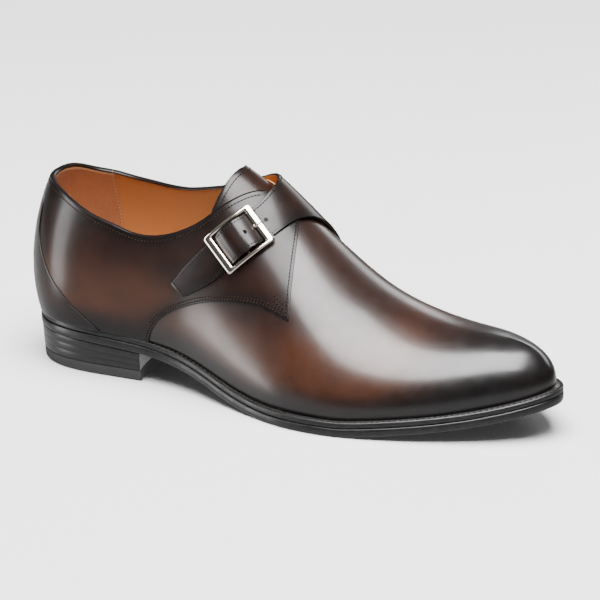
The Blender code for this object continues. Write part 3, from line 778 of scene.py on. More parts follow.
def panel(name, columns, rows, place, lift, thickness, base_shade, material=None,
          back=None, replaced=(), rounding=0.22, reach=7.0, rim=0.75):
    """One cut leather panel on the last, with its thickness, rounded edges and burnish."""
    bm = sheet_on_last(columns, rows, place, lift)
    seeds = rim_points(bm)
    if back:
        half = 0.5 * thickness * MM
        front = [face.calc_center_median() + half * face.normal for face in bm.faces]
    bmesh.ops.solidify(bm, geom=bm.faces[:], thickness=thickness * MM)
    bm.normal_update()
    if back:
        paint_back(bm, front)
    round_rim(bm, rounding * MM)
    mesh = mesh_from(name, bm)
    burnish(mesh, seeds, base_shade, reach, rim)
    place_piece(name, mesh, material or leather("quarter_calf", polish=0.28), replaced)
    if back:
        mesh.materials.append(back)


def sweep(bm, centre, first, second, profile):
    """Carries a closed profile along centre; its pairs go in the first and second ways."""
    count, sides = len(centre), np.shape(profile)[-2]
    made, share = grid_points(bm, count - 1, sides)
    i, j = grid_numbers(share, count - 1, sides)
    j %= sides
    profile = np.asarray(profile, float)
    if profile.ndim == 2:
        profile = np.broadcast_to(profile, (count, sides, 2))
    shape = profile[i, j]
    move_to(made, centre[i] + first[i] * shape[:, :1] + second[i] * shape[:, 1:])
    bmesh.ops.remove_doubles(bm, verts=made, dist=MERGE)
    bmesh.ops.holes_fill(bm, edges=[e for e in bm.edges if e.is_boundary], sides=0)
    bmesh.ops.recalc_face_normals(bm, faces=bm.faces)


def ellipse(half_width, half_height, count=12, centre=(0.0, 0.0)):
    """Points round an oval."""
    turns = np.arange(count) * 2 * math.pi / count
    across = centre[0] + half_width * np.cos(turns)
    upward = centre[1] + half_height * np.sin(turns)
    return np.stack([across, upward], 1)


def even(points, step, *others):
    """points and others resampled at an even step along points."""
    run = np.concatenate([[0], np.cumsum(np.linalg.norm(np.diff(points, axis=0), axis=1))])
    count = max(int(round(run[-1] / step)), 1)
    at = np.linspace(0, run[-1], count + 1)
    return [np.stack([np.interp(at, run, column) for column in values.T], 1)
            for values in (points, *others)]


def append(bm, part):
    """Adds part's mesh to bm, which is quicker than making many small shapes in bm itself."""
    mesh = bpy.data.meshes.new("part")
    part.to_mesh(mesh)
    part.free()
    bm.from_mesh(mesh)
    bpy.data.meshes.remove(mesh)


def beads(bm, centres, turns, half_sizes, rings, sides=6):
    """Small ellipsoids, a few dozen at a time."""
    size = Matrix.Diagonal((*(h * MM for h in half_sizes), 1))
    for first in range(0, len(centres), STITCH_BATCH):
        end = first + STITCH_BATCH
        part = bmesh.new()
        for centre, turn in zip(centres[first:end], turns[first:end]):
            place = Matrix.Translation(Vector(to_world(centre)))
            bmesh.ops.create_uvsphere(part, u_segments=sides, v_segments=rings, radius=1,
                                      matrix=place @ turn @ size)
        append(bm, part)


def sew(threads, holes, points, normals, pitch, length=STITCH_LENGTH, radius=STITCH_RADIUS):
    """A row of stitches in threads along points, with near-black beads in holes between them that paint
    the shade inside the awl's holes.
    """
    points, normals = even(points, pitch, normals)
    turns = []
    for start, end, normal in zip(points[:-1], points[1:], normals):
        along = Vector(end - start).normalized()
        aside = Vector(normal).cross(along).normalized()
        turns.append(Matrix((aside, along.cross(aside), along)).transposed().to_4x4())
    half_sizes = (radius, radius * STITCH_FLATNESS, length / 2)
    beads(threads, (points[:-1] + points[1:]) / 2, turns, half_sizes, rings=5)
    if holes is not None:
        beads(holes, points[:-1] - AWL_HOLE_SHADE_DEPTH * normals[:-1], turns, AWL_HOLE_SHADE, rings=4)


def inset_line(points, sign, aside, lift, start=0.0, end=1.0, count=160):
    """Points and normals on the last along a line moved aside by a distance in mm."""
    at = line_of(points, sign)(np.linspace(start, end, count))
    places, normals = surface(at[:, 0], at[:, 1])
    along = np.gradient(places, axis=0)
    along /= np.linalg.norm(along, axis=1)[:, None]
    side_way = np.cross(normals, along)
    value = lift(at[:, 0], at[:, 1])[:, None] if callable(lift) else lift
    return places + side_way * aside + normals * value, normals


# ------------------------------------------------------------------ settings
class ShoeSizes(bpy.types.PropertyGroup):
    """Thicknesses and stitch sizes that a maker would choose."""

    quarter_leather: FloatProperty(name="Quarter leather", description="Thickness of the outer leather",
                                   default=0.0009, min=0.0004, unit="LENGTH", subtype="DISTANCE")
    strap_leather: FloatProperty(name="Strap leather", description="Thickness of the lined strap",
                                 default=0.0016, min=0.0008, unit="LENGTH", subtype="DISTANCE")
    lining: FloatProperty(name="Lining", description="Thickness of the lining leather",
                          default=0.0007, min=0.0003, unit="LENGTH", subtype="DISTANCE")
    stitch_pitch: FloatProperty(name="Stitch pitch", description="Distance from stitch to stitch",
                                default=0.0019, min=0.001, unit="LENGTH", subtype="DISTANCE")
    welt_pitch: FloatProperty(name="Welt stitch pitch", description="Distance between welt stitches",
                              default=0.0029, min=0.001, unit="LENGTH", subtype="DISTANCE")


class ShoeColours(bpy.types.PropertyGroup):
    """Colours and gloss of the leathers, edges, thread and metal."""

    leather_warm: FloatVectorProperty(name="Warm brown", description="Calf where it is least burnished",
                                      default=(0.046, 0.0135, 0.0048), subtype="COLOR", min=0, max=1)
    leather_brown: FloatVectorProperty(name="Brown", description="Calf on the flat of a panel",
                                       default=(0.018, 0.006, 0.0034), subtype="COLOR", min=0, max=1)
    leather_deep: FloatVectorProperty(name="Deep brown", description="Calf near a seam",
                                      default=(0.0065, 0.0033, 0.0026), subtype="COLOR", min=0, max=1)
    leather_dark: FloatVectorProperty(name="Burnish", description="Calf at toe, heel and edges",
                                      default=(0.003, 0.0022, 0.0022), subtype="COLOR", min=0, max=1)
    leather_gloss: FloatProperty(name="Calf roughness", description="Least roughness of the calf",
                                 default=0.29, min=0.05, max=1, subtype="FACTOR")
    lining: FloatVectorProperty(name="Lining", description="Tan lining leather",
                                default=(0.5, 0.2, 0.05), subtype="COLOR", min=0, max=1)
    suede: FloatVectorProperty(name="Heel grip", description="Suede inside the heel",
                               default=(0.42, 0.16, 0.045), subtype="COLOR", min=0, max=1)
    edge_ink: FloatVectorProperty(name="Edge ink", description="Black of sole, welt and heel",
                                  default=(0.004, 0.0038, 0.004), subtype="COLOR", min=0, max=1)
    thread: FloatVectorProperty(name="Thread", description="Thread of the upper",
                                default=(0.055, 0.022, 0.011), subtype="COLOR", min=0, max=1)
    welt_thread: FloatVectorProperty(name="Welt thread", description="Thread of the welt seam",
                                     default=(0.035, 0.027, 0.022), subtype="COLOR", min=0, max=1)
    metal: FloatVectorProperty(name="Buckle", description="Polished buckle metal",
                               default=(0.86, 0.79, 0.68), subtype="COLOR", min=0, max=1)


class ShoeStudio(bpy.types.PropertyGroup):
    """Camera and lights."""

    azimuth: FloatProperty(name="Azimuth", description="Camera's turn round the shoe",
                           default=math.radians(26.6), subtype="ANGLE", unit="ROTATION")
    elevation: FloatProperty(name="Elevation", description="Camera's height angle",
                             default=math.radians(20.9), subtype="ANGLE", unit="ROTATION")
    distance: FloatProperty(name="Distance", description="Camera to the shoe",
                            default=1.606, unit="LENGTH", subtype="DISTANCE")
    lens: FloatProperty(name="Lens", description="Focal length in millimetres", default=184.0)
    overhead: FloatProperty(name="Overhead light", description="Power of the softbox above",
                            default=60.0, min=0, unit="POWER")
    side: FloatProperty(name="Side light", description="Power of the strip at the heel's side",
                        default=9.0, min=0, unit="POWER")
    rim: FloatProperty(name="Rim light", description="Power of the softbox beyond the shoe",
                       default=8.0, min=0, unit="POWER")
    fill: FloatProperty(name="Fill light", description="Power of the soft light on the floor",
                        default=175.0, min=0, unit="POWER")
    surround: FloatProperty(name="Surround", description="Strength of the room", default=1.0, min=0)


# ------------------------------------------------------------------ upper
def fill_between(top, low):
    """A place function for a panel between two lines, for panel()."""
    def place(u, w):
        start, end = top(u), low(u)
        point = start * (1 - w[:, None]) + end * w[:, None]
        return point[:, 0], point[:, 1]

    return place


def size_of(name):
    """A size from the sidebar's settings, in millimetres."""
    return getattr(bpy.context.scene.shoe_sizes, name) / MM


def quarter_top(sign):
    """Collar line of one side as a function of the signed station."""
    line = OUTER_COLLAR if sign < 0 else INNER_COLLAR + [(6.1, 0.24), (6.5, 0.12)]
    return spline(*zip(*[(station, abs(across)) for station, across in line]))


def make_tan_lining():
    return tan_leather("lining_leather", bpy.context.scene.shoe_colours.lining, 0.48, 0.00002)


def make_lining():
    """The lining is one skin inside the whole shoe, open at the collar and underneath."""
    heights = {sign: quarter_top(sign) for sign in (-1, 1)}

    def place(u, w):
        turn = 2 * u - 1
        station = STATIONS * np.abs(turn) ** 0.9
        top = np.zeros_like(station)
        for sign in (-1, 1):
            here = (turn < 0) if sign < 0 else (turn >= 0)
            value = heights[sign](np.minimum(station[here], 6.5))[:, 0]
            value *= 1 - smooth(6.95, THROAT, station[here])
            top[here] = value
        across = 1 - w * (1 - top)
        return station, np.where(turn < 0, -across, across)

    panel("lining", 220, 44, place, LINING_LIFT, size_of("lining"), 0.0,
          make_tan_lining(), replaced=("upper",))


def make_heel_grip():
    """A suede lining inside the heel, sewn down along its front edge."""
    edge_station = station_at(GRIP_EDGE)
    collars = {-1: quarter_top(-1), 1: quarter_top(1)}

    def place(u, w):
        turn = 2 * u - 1
        outer, inner = (collars[sign](np.abs(turn) * 2)[:, 0] for sign in (-1, 1))
        top = np.where(turn < 0, outer, inner)
        across = GRIP_FOOT - w * (GRIP_FOOT - top - GRIP_GAP)
        station = np.abs(turn) * edge_station(across)[:, 0]
        return station, np.where(turn < 0, -across, across)

    suede = tan_leather("heel_grip_suede", bpy.context.scene.shoe_colours.suede, 0.75, 0.00007)
    panel("heel_grip", 70, 34, place, HEEL_GRIP_LIFT, HEEL_GRIP_THICKNESS, 0.0,
          suede)


def make_vamp():
    """The vamp wraps the forepart from welt to welt and runs in under both quarters."""
    back = station_at(VAMP_BACK)

    def place(u, w):
        across = 2 * u - 1
        start = back(np.abs(across))[:, 0]
        return start + (STATIONS - start) * w, across

    panel("vamp", 132, 150, place, VAMP_LIFT, size_of("quarter_leather"), 0.06,
          material=leather("burnished_calf"), rim=0.35)


def make_outer_quarter():
    """The outer quarter, from the back seam to its square-cornered front under the strap."""
    top = chain((0.72, OUTER_COLLAR[:12], 1), (0.28, OUTER_COLLAR[11:], 1))
    low = chain((0.36, WELT_PART, -1), (0.36, QUARTER_LOWER, -1), (0.28, QUARTER_FRONT, -1))
    panel("outer_quarter", 150, 56, fill_between(top, low), QUARTER_LIFT,
          size_of("quarter_leather"), 0.1, reach=6.0)


def make_inner_quarter():
    """The inner quarter and the strap are cut in one piece."""
    top = chain((0.56, INNER_COLLAR, 1), (0.44, STRAP_UPPER_EDGE, 1))
    low = chain((0.24, WELT_PART, 1), (0.28, QUARTER_LOWER, 1), (0.08, INNER_FRONT, 1),
                (0.40, STRAP_LOWER_EDGE, 1))

    def lift(station, across):
        free = smooth(4.7, 5.6, station) * (across < 0.5) + (across < 0)
        return np.where(free > 0, strap_lift(station, across), QUARTER_LIFT)

    panel("inner_quarter_and_strap", 200, 40, fill_between(top, low), lift,
          size_of("strap_leather"), 0.3, replaced=("strap",), reach=4.0, back=make_tan_lining())


def make_counter():
    """The heel counter wraps the back of the shoe between its two slanting seams."""
    seam = station_at(COUNTER_SEAM)

    def place(u, w):
        turn = 2 * u - 1
        across = 1 - w * (1 - COUNTER_TOP)
        station = np.abs(turn) * seam(across)[:, 0]
        return station, np.where(turn < 0, -across, across)

    panel("heel_counter", 90, 48, place, COUNTER_LIFT, COUNTER_THICKNESS, 0.15, rim=0.6)


def tongue_edge(across):
    """The station of the tongue's free edge."""
    return TONGUE_TOP - TONGUE_TOP_LEAN * np.abs(across) ** 1.1


def make_tongue():
    """The tongue lies inside the throat with its free edge above it."""
    def place(u, w):
        across = (2 * u - 1) * TONGUE_HALF_WIDTH
        return tongue_edge(across) * (1 - w) + TONGUE_ROOT * w, across

    panel("tongue_leather", 60, 40, place, TONGUE_LIFT, TONGUE_THICKNESS, 0.12,
          replaced=("tongue",), reach=2.5)


def collar_path(count=420):
    """Points, normals and upward directions along the collar, outer side first."""
    outer = line_of(OUTER_COLLAR)(np.linspace(1, 0, count // 2))
    inner = line_of(INNER_COLLAR)(np.linspace(0, 1, count // 2)[1:])
    at = np.concatenate([outer, inner])
    points, normals = surface(at[:, 0], at[:, 1])
    points, normals = even(points, 1.6, normals)
    normals /= np.linalg.norm(normals, axis=1)[:, None]
    along = np.gradient(points, axis=0)
    upward = np.cross(normals, along)
    upward *= np.sign(upward[:, 2:])
    upward /= np.linalg.norm(upward, axis=1)[:, None]
    return points, normals, upward


def make_edge_calf():
    return leather("dark_calf_edge", 0.8, by_place=False, polish=0.2)


def make_collar_binding():
    """A narrow leather binding folded over the collar's edge."""
    points, normals, upward = collar_path()
    bm = bmesh.new()
    sweep(bm, points, normals, upward, ellipse(*BINDING))
    place_piece("collar_binding", mesh_from("collar_binding", bm), make_edge_calf())


# ------------------------------------------------------------------ stitching
def make_stitching():
    """All visible rows on the upper's outside, as one piece of thread and one of near-black beads that
    paint the shade inside the awl holes.
    """
    threads, holes = bmesh.new(), bmesh.new()
    pitch = size_of("stitch_pitch")

    def row(points, sign, aside, lift, **span):
        sew(threads, holes, *inset_line(points, sign, aside, lift, **span), pitch=pitch)

    top = QUARTER_LIFT + STITCH_LIFT
    for sign in (-1, 1):
        collar = OUTER_COLLAR if sign < 0 else INNER_COLLAR
        row(collar, 1, sign * COLLAR_ROW, top, start=0.02, end=0.99)
        row(QUARTER_LOWER, sign, -sign * QUARTER_ROW, top)
        row(QUARTER_LOWER, sign, -sign * SECOND_QUARTER_ROW, top, start=0.12, end=0.96)
    row(QUARTER_FRONT, -1, FRONT_ROW, top, start=0.04)
    row(INNER_FRONT, 1, -FRONT_ROW, top, start=0.1)

    def strap_top(station, across):
        return strap_lift(station, across) + STRAP_STITCH_LIFT

    row(STRAP_UPPER_EDGE, 1, STRAP_ROW, strap_top, start=0.04, end=0.985)
    row(STRAP_LOWER_EDGE, 1, -STRAP_ROW, strap_top, start=0.0, end=0.985)
    strap_tip = [STRAP_UPPER_EDGE[-1], STRAP_LOWER_EDGE[-1]]
    row(strap_tip, 1, STRAP_ROW, strap_top, start=0.16, end=0.84)
    across = np.linspace(-0.97, 0.97, 25) * TONGUE_HALF_WIDTH
    tongue_row = np.column_stack([tongue_edge(across) + TONGUE_ROW, across])
    row(tongue_row, 1, 0.0, TONGUE_LIFT + TONGUE_STITCH_LIFT)
    for sign in (-1, 1):
        for first, last in BAR_TACKS:
            row([first, np.add(first, last) / 2, last], sign, 0.0, top)

    linen = thread("upper_thread", bpy.context.scene.shoe_colours.thread)
    place_piece("upper_stitches", mesh_from("upper_stitches", threads), linen)
    # The awl holes are near-black beads that paint the shade inside them.
    place_piece("upper_stitches_hole_shade", mesh_from("upper_stitches_hole_shade", holes), make_hole_shade_finish())


# A near-black, almost matt calf that paints the shade inside awl holes and punched holes.
def make_hole_shade_finish():
    return leather("awl_hole_leather", 1.0, by_place=False, polish=0.05)


def make_grip_stitching():
    """The rows that hold the heel grip to the lining."""
    threads = bmesh.new()
    for sign in (1, -1):
        points, normals = inset_line(GRIP_EDGE[1:], sign, -sign * GRIP_ROW, GRIP_THREAD_LIFT, end=0.95)
        sew(threads, None, points, -normals, *GRIP_STITCH)
    pale = thread("lining_thread", (0.75, 0.5, 0.24))
    place_piece("heel_grip_stitches", mesh_from("heel_grip_stitches", threads), pale)


# ------------------------------------------------------------------ bottom of the shoe
def slab(name, stations, profile, across_steps, base, inset_at):
    """A slab across the whole shoe, with its edge's profile as (inset, height) pairs."""
    profile = np.asarray(profile, float)
    count = len(profile)
    share = np.linspace(0, 1, across_steps + 2)[1:-1]
    loop = 2 * count + 2 * len(share)
    bm = bmesh.new()
    made, grid = grid_points(bm, len(stations) - 1, loop)
    i, j = grid_numbers(grid, len(stations) - 1, loop)
    j %= loop
    outer, inner = ([edge(side, stations, inset_at(side, stations) + inset) for inset, _ in profile]
                    for side in (-1, 1))
    ring = [(outer[n], profile[n, 1]) for n in range(count)]
    ring += [(outer[-1] * (1 - s) + inner[-1] * s, profile[-1, 1]) for s in share]
    ring += [(inner[n], profile[n, 1]) for n in reversed(range(count))]
    ring += [(outer[0] * s + inner[0] * (1 - s), profile[0, 1]) for s in share]
    plan = np.stack([line for line, _ in ring], 1)
    height = np.array([h for _, h in ring])
    flat = plan[i, j]
    move_to(made, np.column_stack([flat, base(flat[:, 0]) + height[j]]))
    bmesh.ops.remove_doubles(bm, verts=bm.verts, dist=MERGE)
    bmesh.ops.dissolve_degenerate(bm, edges=bm.edges, dist=MERGE)
    bmesh.ops.recalc_face_normals(bm, faces=bm.faces)
    return mesh_from(name, bm, 40)


def eased(start, end, count):
    """Stations from start to end, closer together near the round ends of the shoe."""
    share = np.linspace(0, 1, 201)
    whole = STATIONS * (0.6 * share + 0.4 * (1 - np.cos(math.pi * share)) / 2)
    first, last = np.interp((start, end), whole, share)
    return np.interp(np.linspace(first, last, count), share, whole)


def make_outsole():
    """The outsole, with its rounded and waxed edge."""
    profile = [(1.0, 0.0), (0.4, 0.2), (0.1, 0.7), (0.0, 1.6), (0.0, 3.4), (0.15, 4.1), (0.5, 4.5),
               (1.0, OUTSOLE_THICKNESS)]
    mesh = slab("outsole", eased(0, STATIONS, 170), profile, 12, tread, lambda side, k: 0 * k)
    wax = edge_black("sole_edge_wax", 0.3)
    place_piece("outsole_leather", mesh, wax, ("outsole",))


def make_insole():
    """The insole, and the sock of lining leather glued on it."""
    tan = make_tan_lining()
    stations = eased(0.12, STATIONS - 0.25, 90)

    def inset(side, station):
        return feather_inset(rim_place(side, station))

    board = [(3.7, 0.0), (3.3, 0.4), (3.3, 2.4), (3.7, 2.8)]
    mesh = slab("insole_board", stations, board, 6, lambda x: outsole_top(x) + GAP, inset)
    place_piece("insole_board", mesh, tan, ("insole",))
    sock = [(1.3, 0.0), (0.9, 0.3), (0.9, 0.8), (1.3, 1.1)]
    mesh = slab("sock", stations, sock, 8, lambda x: feather(x) + 0.05, inset)
    place_piece("sock_lining", mesh, tan)


def strip(name, places, profile, under):
    """A strip on the outsole's rim.  The profile is (inset, height); where the inset is TUCKED
    it ends as far inside the feather line as under says."""
    line, inward = rim(places)
    centre = np.column_stack([line, outsole_top(line[:, 0]) + GAP])
    first = np.column_stack([inward, 0 * line[:, 0]])
    second = np.tile((0.0, 0.0, 1.0), (len(places), 1))
    profile = np.broadcast_to(np.asarray(profile, float), (len(places), len(profile), 2)).copy()
    tucked = profile[..., 0] == TUCKED
    profile[..., 0] = np.where(tucked, feather_inset(places)[:, None] + under, profile[..., 0])
    bm = bmesh.new()
    sweep(bm, centre, first, second, profile)
    return mesh_from(name, bm, 40)


WELT_PROFILE = [(TUCKED, 0.0), (0.6, 0.0), (0.25, 0.35), (0.2, 1.0), (0.2, 2.1), (0.4, 2.7),
                (0.8, 2.95), (1.25, 2.85), (1.6, 2.6), (2.0, 2.6), (2.35, 2.85), (2.6, 2.98),
                (TUCKED, WELT_THICKNESS)]
RAND_PROFILE = [(TUCKED, 0.0), (0.7, 0.0), (0.35, 0.35), (0.3, 1.2), (0.4, 2.2), (0.8, 2.8),
                (1.4, 3.0), (TUCKED, WELT_THICKNESS)]
WELT_END = 4.0
RAND_END = 4.02
WELT_STITCH_END = 4.05
WELT_UNDER = 3.0


def make_welt():
    """The welt round the forepart, and the rand that carries its line round the heel."""
    wax = edge_black("welt_wax", 0.34)
    half = eased(WELT_END, STATIONS, 150)
    places = np.concatenate([half, ROUND - half[-2::-1]])
    mesh = strip("welt", places, WELT_PROFILE, WELT_UNDER)
    place_piece("welt_strip", mesh, wax, ("welt",))
    half = eased(0, RAND_END, 60)
    places = ROUND + np.concatenate([-half[::-1], half[1:]])
    mesh = strip("heel_rand", places, RAND_PROFILE, WELT_UNDER)
    place_piece("rand_strip", mesh, wax, ("heel_rand",))


def make_welt_stitching():
    """The row of stitches in the welt's groove."""
    inset, height = WELT_GROOVE
    at = np.linspace(WELT_STITCH_END, ROUND - WELT_STITCH_END, 1200)
    line, inward = rim(at)
    points = np.column_stack([line + inward * inset, outsole_top(line[:, 0]) + GAP + height])
    normals = np.tile((0.0, 0.0, 1.0), (len(at), 1))
    threads = bmesh.new()
    sew(threads, None, points, normals, size_of("welt_pitch"), *WELT_STITCH)
    linen = thread("welt_thread", bpy.context.scene.shoe_colours.welt_thread)
    place_piece("welt_stitches", mesh_from("welt_stitches", threads), linen)


def heel_plan(inset, around=90, breast=16):
    """The heel's outline, closed by its hollow breast."""
    end = np.interp(HEEL_BREAST_X, [x for x, _ in OUTER_EDGE], range(STATIONS + 1))
    line, inward = rim(np.linspace(-end, end, around) + ROUND)
    outer = line + inward * inset
    share = np.linspace(0, 1, breast + 1)[1:-1, None]
    across = outer[-1] * (1 - share) + outer[0] * share
    across[:, 0] -= HEEL_BREAST_HOLLOW * (1 - (2 * share[:, 0] - 1) ** 2)
    return np.concatenate([outer, across])


def heel_block(name, rows):
    """A heel layer from rows of (inset, height function)."""
    plans = []
    for inset, height in rows:
        plan = heel_plan(inset)
        plans.append(np.column_stack([plan, height(plan[:, 0])]))
    count = len(plans[0])
    bm = bmesh.new()
    made, share = grid_points(bm, count, len(rows) - 1)
    i, j = grid_numbers(share, count, len(rows) - 1)
    move_to(made, np.stack(plans)[j, i % count])
    bmesh.ops.remove_doubles(bm, verts=bm.verts, dist=MERGE)
    bmesh.ops.holes_fill(bm, edges=[e for e in bm.edges if e.is_boundary], sides=0)
    bmesh.ops.recalc_face_normals(bm, faces=bm.faces)
    return mesh_from(name, bm, 40)


def make_heel():
    """The stack of leather lifts, and the rubber top piece that meets the floor."""
    def level(z):
        return lambda x: z + 0 * x

    top_rows = [(2.5, level(0)), (1.9, level(0.5)), (1.75, level(1.5)), (1.5, level(5.2)),
                (1.55, level(5.8)), (1.9, level(6.0))]
    mesh = heel_block("heel_top_piece", top_rows)
    place_piece("heel_top_lift", mesh, rubber("heel_rubber"), ("heel_top_piece",))
    rows = []
    for number in range(HEEL_LIFTS):
        for groove, at in ((LIFT_GROOVE, 0.0), (0.0, 0.04), (0.0, 0.96), (LIFT_GROOVE, 1.0)):
            share = (number + at) / HEEL_LIFTS

            def height(x, share=share):
                low = HEEL_JOINT + GAP
                return low + (tread(x) - GAP - low) * share

            rows.append((HEEL_FOOT_INSET - HEEL_FLARE * share + groove, height))
    mesh = heel_block("heel_stack", rows)
    wax = edge_black("heel_wax", 0.28, layered=True)
    place_piece("heel_lifts", mesh, wax, ("heel_stack",))


# ------------------------------------------------------------------ buckle
def rounded_rectangle(length, width, radius, corner_steps=8, side_steps=10):
    """Points round a rectangle with round corners, one quarter turn after another."""
    points = []
    for turn in range(4):
        half = (length / 2, width / 2) if turn % 2 == 0 else (width / 2, length / 2)
        run, rise = half[0] - radius, half[1] - radius
        corner = [(run + radius * math.cos(a), rise + radius * math.sin(a))
                  for a in np.linspace(0, math.pi / 2, corner_steps)]
        side = [(run - 2 * run * s / side_steps, half[1]) for s in range(1, side_steps)]
        c, s = ((1, 0), (0, 1), (-1, 0), (0, -1))[turn]
        points += [(c * x - s * y, s * x + c * y) for x, y in corner + side]
    return np.array(points)


# The frame's section: how far from the opening (0) to the outer edge (1), and the height in mm.
FRAME_PROFILE = [(0.05, 0.0), (0.0, 0.2), (0.0, 1.9), (0.07, 2.2), (0.22, 2.45), (0.5, 2.6),
                 (0.78, 2.5), (0.93, 2.25), (1.0, 1.85), (1.0, 0.2), (0.95, 0.0)]


def tube(bm, path, profile):
    """A rod with the profile's section along a path in the buckle's plane y = 0 or x = 0."""
    points = on_buckle(path)
    along = np.gradient(points, axis=0)
    along /= np.linalg.norm(along, axis=1)[:, None]
    _, strap_way, across, _ = BUCKLE_AXES
    side = across if abs(np.ptp(np.asarray(path)[:, 0])) > 0.1 else strap_way
    side = np.tile(side, (len(points), 1))
    sweep(bm, points, side, np.cross(along, side), profile)


def make_buckle():
    """The buckle's frame, and the bar across its middle."""
    metal = buckle_metal("polished_buckle")
    outer = rounded_rectangle(BUCKLE_LENGTH, BUCKLE_WIDTH, BUCKLE_CORNER)
    opening = (BUCKLE_LENGTH - 2 * BUCKLE_END_BAR, BUCKLE_WIDTH - 2 * BUCKLE_SIDE_BAR)
    inner = rounded_rectangle(*opening, INNER_CORNER)
    bm = bmesh.new()
    made, share = grid_points(bm, len(outer), len(FRAME_PROFILE))
    i, j = grid_numbers(share, len(outer), len(FRAME_PROFILE))
    i %= len(outer)
    profile = np.array(FRAME_PROFILE)[j % len(FRAME_PROFILE)]
    plan = inner[i] * (1 - profile[:, :1]) + outer[i] * profile[:, :1]
    move_to(made, on_buckle(np.column_stack([plan, BUCKLE_STANDOFF + profile[:, 1]])))
    bmesh.ops.remove_doubles(bm, verts=bm.verts, dist=MERGE)
    bmesh.ops.recalc_face_normals(bm, faces=bm.faces)
    reach = (BUCKLE_WIDTH - BUCKLE_SIDE_BAR) / 2
    bar = [(0, y, BAR_STANDOFF) for y in np.linspace(-reach, reach, 12)]
    bar_bm = bmesh.new()
    tube(bar_bm, bar, ellipse(BAR_RADIUS, BAR_RADIUS))
    mesh = mesh_from("buckle_frame", bm, 60)
    place_piece("buckle_ring", mesh, metal, ("buckle_frame",))
    place_piece("buckle_bar", mesh_from("buckle_bar", bar_bm), metal)


def make_prong():
    """The prong curls round the bar, comes up through the strap and rests on the frame."""
    half_width, half_height = PRONG_HALF_SIZE
    curl = BAR_RADIUS + GAP + half_height
    turns = np.radians(range(-60, -271, -15))
    path = [(curl * math.cos(a), BAR_STANDOFF + curl * math.sin(a)) for a in turns]
    path += [(3, 5.6), (6, 5.0), (8, 5.1), (9.4, 5.75), (10.7, 6.95), (12.2, 7.6), (14.4, 7.65)]
    path = np.array(path)
    run = np.concatenate([[0], np.cumsum(np.linalg.norm(np.diff(path, axis=0), axis=1))])
    at = np.linspace(0, run[-1], 70)
    line = spline(run, path)(at)
    bm = bmesh.new()
    path = np.column_stack([line[:, 0], 0 * at, line[:, 1]])
    taper = 1 - PRONG_TAPER * smooth(0.8 * run[-1], run[-1], at)
    tube(bm, path, ellipse(half_width, half_height, 14)[None] * taper[:, None, None])
    place_piece("prong", mesh_from("buckle_prong", bm), buckle_metal("polished_buckle"),
                ("buckle_prong",))


def make_strap_holes():
    """Punched holes along the strap, each with a slightly raised rim and a near-black disc in it that
    paints the shade inside the hole.
    """
    middle, strap_way, aside, _ = BUCKLE_AXES
    across, share = np.meshgrid(np.linspace(-0.6, 0.05, 400), np.linspace(0.3, 0.7, 41))
    across, share = across.ravel(), share.ravel()
    top, low = STRAP_TOP_STATION(across)[:, 0], STRAP_LOW_STATION(across)[:, 0]
    station = top * (1 - share) + low * share
    points, normals = surface(station, across, strap_lift(station, across))
    along, beside = ((points - middle) @ way for way in (strap_way, aside))
    rims, hole_shades = bmesh.new(), bmesh.new()
    for distance in STRAP_HOLES:
        found = np.argmin((along - distance) ** 2 + beside ** 2)
        place = Matrix.Translation(Vector(to_world(points[found])))
        place = place @ Vector(normals[found]).to_track_quat("Z", "Y").to_matrix().to_4x4()
        section = Matrix.Translation((HOLE_RIM_RADIUS * MM, 0, 0.03 * MM))
        section = place @ section @ Matrix.Rotation(math.pi / 2, 4, "X")
        ring = bmesh.ops.create_circle(rims, segments=8, radius=HOLE_RIM_THICKNESS * MM,
                                       matrix=section)["verts"]
        edges = list({e for vert in ring for e in vert.link_edges})
        bmesh.ops.spin(rims, geom=ring + edges, cent=place.translation, axis=Vector(normals[found]),
                       steps=24, angle=2 * math.pi, use_merge=True)
        # A near-black disc in each hole paints the shade inside it.
        radius = STRAP_HOLE_RADIUS * MM
        bmesh.ops.create_cone(hole_shades, cap_ends=True, segments=24, radius1=radius, radius2=radius,
                              depth=0.3 * MM, matrix=place @ Matrix.Translation((0, 0, 0.02 * MM)))
    bmesh.ops.recalc_face_normals(rims, faces=rims.faces)
    rim_calf = leather("strap_edge_calf", 0.5, by_place=False)
    place_piece("strap_hole_rims", mesh_from("strap_hole_rims", rims), rim_calf)
    place_piece("strap_hole_painted_shade", mesh_from("strap_hole_painted_shade", hole_shades), make_hole_shade_finish())


def finish_tab():
    """The tab that holds the bar keeps its CAD solid."""
    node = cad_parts["buckle_tab"]
    for slot in node.material_slots:
        slot.material = make_edge_calf()


# ------------------------------------------------------------------ stage
def make_floor():
    """A plain pale floor, which isn't mirrored in the polish."""
    bm = bmesh.new()
    bmesh.ops.create_grid(bm, x_segments=1, y_segments=1, size=FLOOR_HALF_SIDE)
    mesh = mesh_from("floor", bm)
    paper = Finish("white_paper", Roughness=0.5)
    dark, light = FLOOR_GREYS
    paper.use("Base Color", paper.ramp(paper.noise(2, 2), [(0.2, grey(dark)), (0.8, grey(light))]))
    mesh.materials.append(paper.material)
    floor = bpy.data.objects.new("floor", mesh)
    bpy.context.scene.collection.objects.link(floor)
    floor.visible_glossy = False


def make_room():
    """The grey room round the shoe, dark above the horizon and bright where the floor is."""
    world = bpy.context.scene.world or bpy.data.worlds.new("studio")
    bpy.context.scene.world = world
    world.use_nodes = True
    background = world.node_tree.nodes["Background"]
    room = Nodes(world.node_tree)
    parts = room.put("ShaderNodeSeparateXYZ", {0: room.put("ShaderNodeTexCoord").outputs["Generated"]})
    height = room.put("ShaderNodeMapRange", {"Value": parts.outputs["Z"], "From Min": -1}).outputs[0]
    shade = room.ramp(height, [(place, grey(value)) for place, value in ROOM_GREYS])
    room.tree.links.new(shade, background.inputs["Color"])
    background.inputs["Strength"].default_value = bpy.context.scene.shoe_studio.surround


